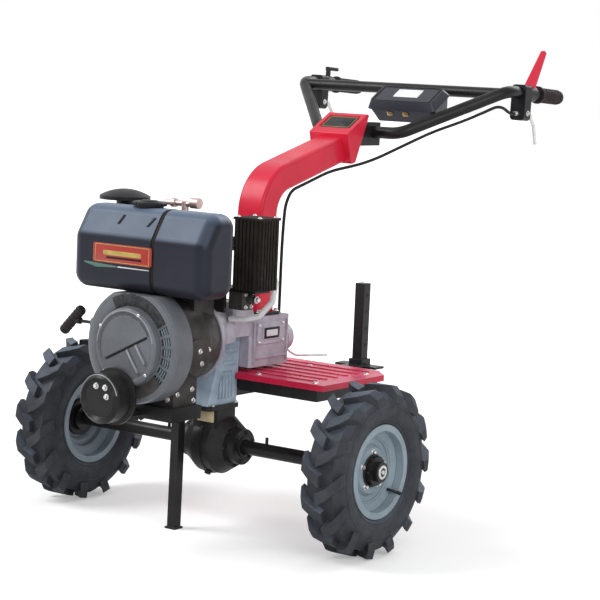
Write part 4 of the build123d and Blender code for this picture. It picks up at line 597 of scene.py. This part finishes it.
# Starter: plates round the domed cover, painted shade behind its vents, painted highlights on rims and ribs,
# a painted shadow along its step
def dress_starter():
    fan = (0, FAN_FRONT, CRANK_Z)
    # Painted shade: a dark ring behind the grille bars, where the vents lie in shade
    vent_shade = Trim("starter_vent_shade", "chassis", "engine_grey", EXTRA["black_and_painted_shade"])
    ring = ((96.5, -7.2), (96.5, -6.2), (123.5, -6.2), (123.5, -7.2))
    vent_shade.turned(fan, FORWARDS, ring, 72, closed=True)
    vent_shade.done()
    bars = Trim("starter_grille", "chassis", "engine_grey", FINISHES["rim_paint"])
    for radius in (103, 110, 117):
        bar = ((radius - 1.1, -6.6), (radius - 0.8, -2), (radius + 0.8, -2), (radius + 1.1, -6.6))
        bars.turned(fan, FORWARDS, bar, 30, closed=True, span=crank_span(-44, 36))
    bars.done()
    plate = Trim("starter_top_screen", "chassis", "engine_grey", EXTRA["dark_screen"])
    # A darker brown plate over the lower part of the vent ring
    lower_plate = Trim("starter_lower_dark_plate", "chassis", "engine_grey", EXTRA["dark_brown_lower"])
    blank = Trim("starter_side_plate", "chassis", "engine_grey")
    cover = ((97, -6), (97, 1.0), (98.5, 1.8), (122, 1.8), (123.4, 1.0), (123.4, -6))
    # piece, arc in degrees from the machine's left upwards
    for piece, low, high in ((plate, 32, 118), (lower_plate, -88, -40), (blank, 118.5, 271.5)):
        piece.turned(fan, FORWARDS, cover, 36, closed=True, span=crank_span(low, high))
        piece.done()
    # Painted highlight: a pale arc along the top of the starter cover's rim
    lip = Trim("starter_rim_highlight", "chassis", "engine_grey", EXTRA["painted_highlight_grey"])
    edge = ((84.6, -0.6), (85, 0.9), (87.4, 0.9), (87.8, -0.6))
    lip.turned((0, RECOIL_RIM, CRANK_Z), FORWARDS, edge, 48, closed=True, span=crank_span(12, 176))
    lip.done()
    # Painted highlight: a pale arc along the top of the front guard's lip
    guard = Trim("guard_rim_highlight", "chassis", "black_paint", EXTRA["painted_highlight_grey"])
    edge = ((55.2, -5.3), (55.8, -4.4), (57.6, -6.2), (57, -7.2))
    guard.turned(GUARD_MIDDLE, FORWARDS, edge, 48, closed=True, span=crank_span(14, 200))
    guard.done()
    sweep = math.radians(RECOIL_SWEEP)
    rising = Vector((math.cos(sweep), 0, math.sin(sweep)))
    upper = Vector((-math.sin(sweep), 0, math.cos(sweep)))
    # Painted shadow: a dark strip along the foot of the cover's step
    step_shadow = Trim("starter_step_shadow", "chassis", "engine_grey", EXTRA["black_and_painted_shade"])
    step_shadow.panel(Vector((0, RECOIL_FLOOR, CRANK_Z)) - upper * 3.4, rising, upper, (138, 5), 0.4, 1.0, 0.1)
    step_shadow.done()
    slant = math.radians(RECOIL_SLANT)
    falling = Vector((math.cos(slant), 0, -math.sin(slant)))
    outer = Vector((math.sin(slant), 0, math.cos(slant)))
    # Painted highlight: pale strips on the two lit ribs of the starter cover
    worn = Trim("starter_rib_highlight", "chassis", "engine_grey", EXTRA["painted_highlight_grey"])
    for offset, along, length in ((0, 38.5, 60), (30, 36.8, 49)):
        middle = Vector((0, RECOIL_RIBS, CRANK_Z)) + outer * offset + falling * along
        worn.panel(middle, falling, outer, (length, 5), 0.3, 2.0, 0.1)
    worn.done()


# Engine: fasteners, fuel cap ribs, hose and the ribs of the starter's pull
def dress_engine():
    steel = Trim("engine_bolts", "chassis", "bright_steel")
    for angle in (64, 150, 226, 318):
        steel.bolt(round_crank(RECOIL_RIM, 88, angle), FORWARDS, 5, 3)
    for x, z in ((-34, 390), (-6, 389), (-1, 368)):
        steel.bolt((x, -423, z), FORWARDS, 9, 6)
    left_side = ((105.5, -182, 470), (112, -222, 470), (112, -214, 440),
                 (72, -252, 364), (72, -198, 372), (72, -192, 344))
    for place in left_side:
        steel.bolt(place, LEFTWARDS, 8, 5)
    for x in (52, 8):
        steel.bolt((x, -266, 352), FORWARDS, 10, 6)
    for x in (-56, 56):
        for y in (-188, -106):
            steel.bolt((x, y, 746), UPWARDS, 9, 8)
    for x in (128, 192):
        for y in (-114, -50):
            steel.bolt((x, y, 788), UPWARDS, 7, 4)
    for x in (62, 78):
        steel.bolt((x, -100, 575), BACKWARDS, 9, 6)
    for z in (570, 600):
        for y in (-93, -71):
            steel.bolt((143, y, z), LEFTWARDS, 6, 5)
    steel.bolt((167, -81, 589), LEFTWARDS, 11, 8)
    for x in (104, 132):
        steel.bolt((x, -62, 596), BACKWARDS, 6, 5)
    steel.done()
    cap = Trim("fuel_cap_ribs", "chassis", "black_plastic")
    for i in range(24):
        turn = 2 * math.pi * i / 24
        direction = Vector((math.cos(turn), math.sin(turn), 0))
        centre = Vector((CAP_X, CAP_Y, CAP_TOP - 6)) + direction * 40
        cap.panel(centre, Vector((-direction.y, direction.x, 0)), UPWARDS, (4.5, 7), 1.6, 1.4)
    crown = ((0, -0.5), (22, -0.5), (22, 1), (19, 3), (0, 3.5))
    cap.turned((CAP_X, CAP_Y, CAP_TOP), UPWARDS, crown, 36)
    cap.done()
    hose = Trim("fuel_hose", "chassis", "black_plastic")
    route = ((60, -236, 604), (60, -214, 590), (66, -160, 598),
             (78, -130, 610), (74, -118, 640), (62, -112, 660))
    hose.tube(route, 5)
    hose.done()
    pull = Trim("starter_pull_ribs", "chassis", "grip_rubber")
    tilt = math.radians(PULL_TILT)
    along = Vector((math.sin(tilt), 0, math.cos(tilt)))
    for i in range(7):
        centre = Vector(PULL_MIDDLE) + along * (i - 3) * 11.5
        pull.turned(centre, along, ((11, -3), (13.2, -2), (13.2, 2), (11, 3)), 20, closed=True)
    pull.done()


# Handlebar: clamp bolts, grip ribs, lever pivots, cable adjusters and a blank label on the head
def dress_handlebar():
    steel = Trim("handlebar_bolts", "chassis", "bright_steel")
    for x in (-36, 36):
        for z in (990, 962):
            steel.bolt((x, CLAMP_REAR, z), BACKWARDS, 12, 8)
    fall = Vector((0, GRIP_RUN, -GRIP_FALL)).normalized()
    lift = Vector((0, GRIP_FALL, GRIP_RUN)).normalized()
    rib = ((18, -3.2), (20.6, -1.8), (20.6, 1.8), (18, 3.2))
    x, y, z = GRIP_TIP
    for name, side in SIDES:
        tip = Vector((side * x, y, z))
        rubber = Trim("grip_ribs_" + name, "chassis", "grip_rubber")
        for i in range(9):
            rubber.turned(tip - fall * (12 + 11 * i), fall, rib, 28, closed=True)
        rubber.turned(tip, fall, ((0, 0.3), (14, 0.1), (18.6, -2), (18.6, -6)), 28)
        rubber.done()
        pivot = tip - fall * 198 - lift * 54
        for face in (1, -1):
            steel.bolt(pivot + Vector((face * 22, 0, 0)), (face, 0, 0), 9, 5)
        adjuster = tip - fall * 217 - lift * 56
        steel.turned(adjuster, -fall, ((0, -1), (6.5, -1), (6.5, 8), (5, 9), (5, 16), (0, 16)), 12)
    steel.done()
    rise = Vector(HEAD_RISE)
    label = Trim("head_label", "chassis", "black_plastic")
    label.panel(HEAD_LABEL, LEFTWARDS, rise, (94, 58), HEAD_LABEL_GAUGE, 5)
    label.done()
    gold = Trim("head_label_border", "chassis", "black_plastic", EXTRA["gold_label"])
    face = Vector(HEAD_LABEL) + Vector(HEAD_FACING) * HEAD_LABEL_GAUGE
    for offset in (-25, 25):
        gold.panel(face + rise * offset, LEFTWARDS, rise, (84, 1.6), 0.3, 0.6, 0.1)
    for x in (-42, 42):
        gold.panel(face + Vector((x, 0, 0)), LEFTWARDS, rise, (1.6, 50), 0.3, 0.6, 0.1)
    gold.done()


# Box on the handlebar, set in the plane of the handlebar arms: blank label, border and latches
def dress_box():
    tilt = math.atan2(ARM_RISE, ARM_RUN)
    along = Vector((0, math.cos(tilt), math.sin(tilt)))
    normal = Vector((0, -math.sin(tilt), math.cos(tilt)))
    top = Vector(BOX_TOP)
    label = Trim("box_label", "lid", "black_plastic", EXTRA["white_label"])
    label.panel(top + Vector((2, 0, 0)) + along * 5, LEFTWARDS, along, (78, 38), 0.8, 2)
    label.done()
    rib = Trim("box_lid_border", "lid", "black_plastic")
    for offset in (36, -36):
        rib.panel(top + along * offset, LEFTWARDS, along, (180, 3), 1.6, 1.2)
    for x in (-90, 90):
        rib.panel(top + Vector((x, 0, 0)), LEFTWARDS, along, (3, 70), 1.6, 1.2)
    rib.done()
    latch = Trim("box_latches", "chassis", "bright_steel", EXTRA["brass"])
    for x in (-40, 10):
        centre = top + Vector((x, 0, 0)) - along * 41.8 - normal * 36
        latch.panel(centre, LEFTWARDS, normal, (16, 12), 3, 2, sink=2.5)
    latch.done()


# Deck, stake and drawbar: round-head bolts, clamp screw with its bar, gear rod and painted shade in the pin
# holes
def dress_rear():
    steel = Trim("rear_bolts", "chassis", "bright_steel")
    dome = ((0, -0.5), (8, -0.5), (7, 2), (4, 3.6), (0, 4))
    for x in (-270, -96, 96, 270):
        for y in (34, 252):
            steel.turned((x, y, DECK_TOP), UPWARDS, dome, 18)
    steel.bolt((0, DRAWBAR_REAR, DRAWBAR_Z), BACKWARDS, 12, 10)
    steel.tube([(x, 656, DRAWBAR_Z) for x in (-34, 0, 34)], 4)
    steel.done()
    rod = Trim("gear_rod", "chassis", "bright_steel", EXTRA["silver_pipe"])
    rod.tube(((40, 214, 436), (40, 250, 410), (40, 300, 404), (40, 405, 396)), 3.2)
    rod.done()
    # Painted shade: dark discs stand in for the shade inside the pin holes
    holes = Trim("stake_holes", "stake", "black_paint", EXTRA["black_and_painted_shade"])
    mouth = ((0, 0.15), (4.6, 0.15), (5.4, 0.35), (5.6, -0.3))
    for i in range(8):
        z = 215 + 46 * i
        for axis in ((1, 0, 0), (-1, 0, 0), (0, -1, 0), (0, 1, 0)):
            place = (axis[X] * STAKE_HALF, STAKE_Y + axis[Y] * STAKE_HALF, z)
            holes.turned(place, axis, mouth, 16)
    holes.done()


# Camera and stage
def add_camera():
    azimuth = math.radians(CAMERA_AZIMUTH)
    elevation = math.radians(CAMERA_ELEVATION)
    roll = math.radians(CAMERA_ROLL)
    back = Vector((math.sin(azimuth) * math.cos(elevation), -math.cos(azimuth) * math.cos(elevation),
                   math.sin(elevation)))
    level = Vector((math.cos(azimuth), math.sin(azimuth), 0))
    right = level * math.cos(roll) + back.cross(level) * math.sin(roll)
    up = back.cross(right)
    data = bpy.data.cameras.new("camera")
    data.lens = CAMERA_LENS
    data.sensor_width = CAMERA_SENSOR
    data.clip_end = 100
    camera = bpy.data.objects.new("camera", data)
    x, y, z = CAMERA_EYE
    rotation = Matrix((right, up, back)).transposed().to_4x4()
    camera.matrix_world = Matrix.Translation((x, y + AXLE_Y, z)) @ rotation
    bpy.context.scene.collection.objects.link(camera)
    bpy.context.scene.camera = camera


def add_light(name, place, aim, size, power):
    """A soft lamp, with its place, aim and size in metres and its power in watts."""
    data = bpy.data.lights.new(name, "AREA")
    data.shape = "RECTANGLE"
    data.size, data.size_y = size
    data.energy = power
    light = bpy.data.objects.new(name, data)
    light.location = place
    light.rotation_euler = (Vector(aim) - Vector(place)).to_track_quat("-Z", "Y").to_euler()
    bpy.context.scene.collection.objects.link(light)


def seen_rays(tree):
    """1 for rays that show the backdrop, straight or in a mirror, and 0 for those that light the machine."""
    path = tree.nodes.new("ShaderNodeLightPath")
    shown = path.outputs["Is Camera Ray"]
    for ray in ("Is Glossy Ray", "Is Transmission Ray"):
        either = tree.nodes.new("ShaderNodeMath")
        either.operation = "MAXIMUM"
        tree.links.new(shown, either.inputs[0])
        tree.links.new(path.outputs[ray], either.inputs[1])
        shown = either.outputs[0]
    return shown


def add_floor():
    """A wide pale floor that keeps the shadow under the machine and fades to white further off."""
    mesh = bpy.data.meshes.new("floor")
    build = bmesh.new()
    bmesh.ops.create_grid(build, x_segments=1, y_segments=1, size=FLOOR_HALF)
    build.to_mesh(mesh)
    build.free()
    floor = bpy.data.objects.new("floor", mesh)
    bpy.context.scene.collection.objects.link(floor)
    graph = Graph("floor")
    tint = graph.mix(graph.noise(3.0), colour((0.80, 0.80, 0.80)), colour((0.78, 0.78, 0.79)))
    graph.put(graph.shader.inputs["Base Color"], tint)
    graph.shader.inputs["Roughness"].default_value = 0.9
    place = graph.add("NewGeometry").outputs["Position"]
    far = graph.add("VectorMath", ((0, place),), operation="LENGTH").outputs["Value"]
    strength = graph.times(seen_rays(graph.tree), graph.span(far, *FLOOR_FADE, FLOOR_GLOW, 1.0))
    glow = graph.add("Emission", (("Strength", strength),))
    total = graph.add("AddShader", ((0, graph.shader.outputs[0]), (1, glow.outputs[0])))
    graph.put(graph.tree.nodes["Material Output"].inputs["Surface"], total.outputs[0])
    floor.data.materials.append(graph.material)


def add_world():
    world = bpy.data.worlds.new("studio")
    bpy.context.scene.world = world
    world.use_nodes = True
    tree = world.node_tree
    background = tree.nodes["Background"]
    background.inputs["Color"].default_value = (1, 1, 1, 1)
    shown = tree.nodes.new("ShaderNodeMapRange")
    shown.inputs[3].default_value = WORLD_LIGHT
    shown.inputs[4].default_value = 1.0
    tree.links.new(seen_rays(tree), shown.inputs[0])
    tree.links.new(shown.outputs[0], background.inputs["Strength"])


def add_stage():
    add_floor()
    add_world()
    add_light("key", place=(-2.6, -2.4, 3.6), aim=(0, -0.3, 0.6), size=(2.2, 2.2), power=150)
    add_light("fill", place=(3.4, -2.4, 2.4), aim=(0, 0, 0.5), size=(2.6, 2.6), power=80)
    add_light("rim", place=(0.4, 3.2, 3.0), aim=(0, 0, 0.6), size=(2.4, 2.0), power=70)
    bpy.context.scene.view_settings.view_transform = "Standard"


add_camera()
dress_nodes()
dress_wheels()
dress_drive()
dress_tank()
dress_starter()
dress_engine()
dress_handlebar()
dress_box()
dress_rear()
add_stage()
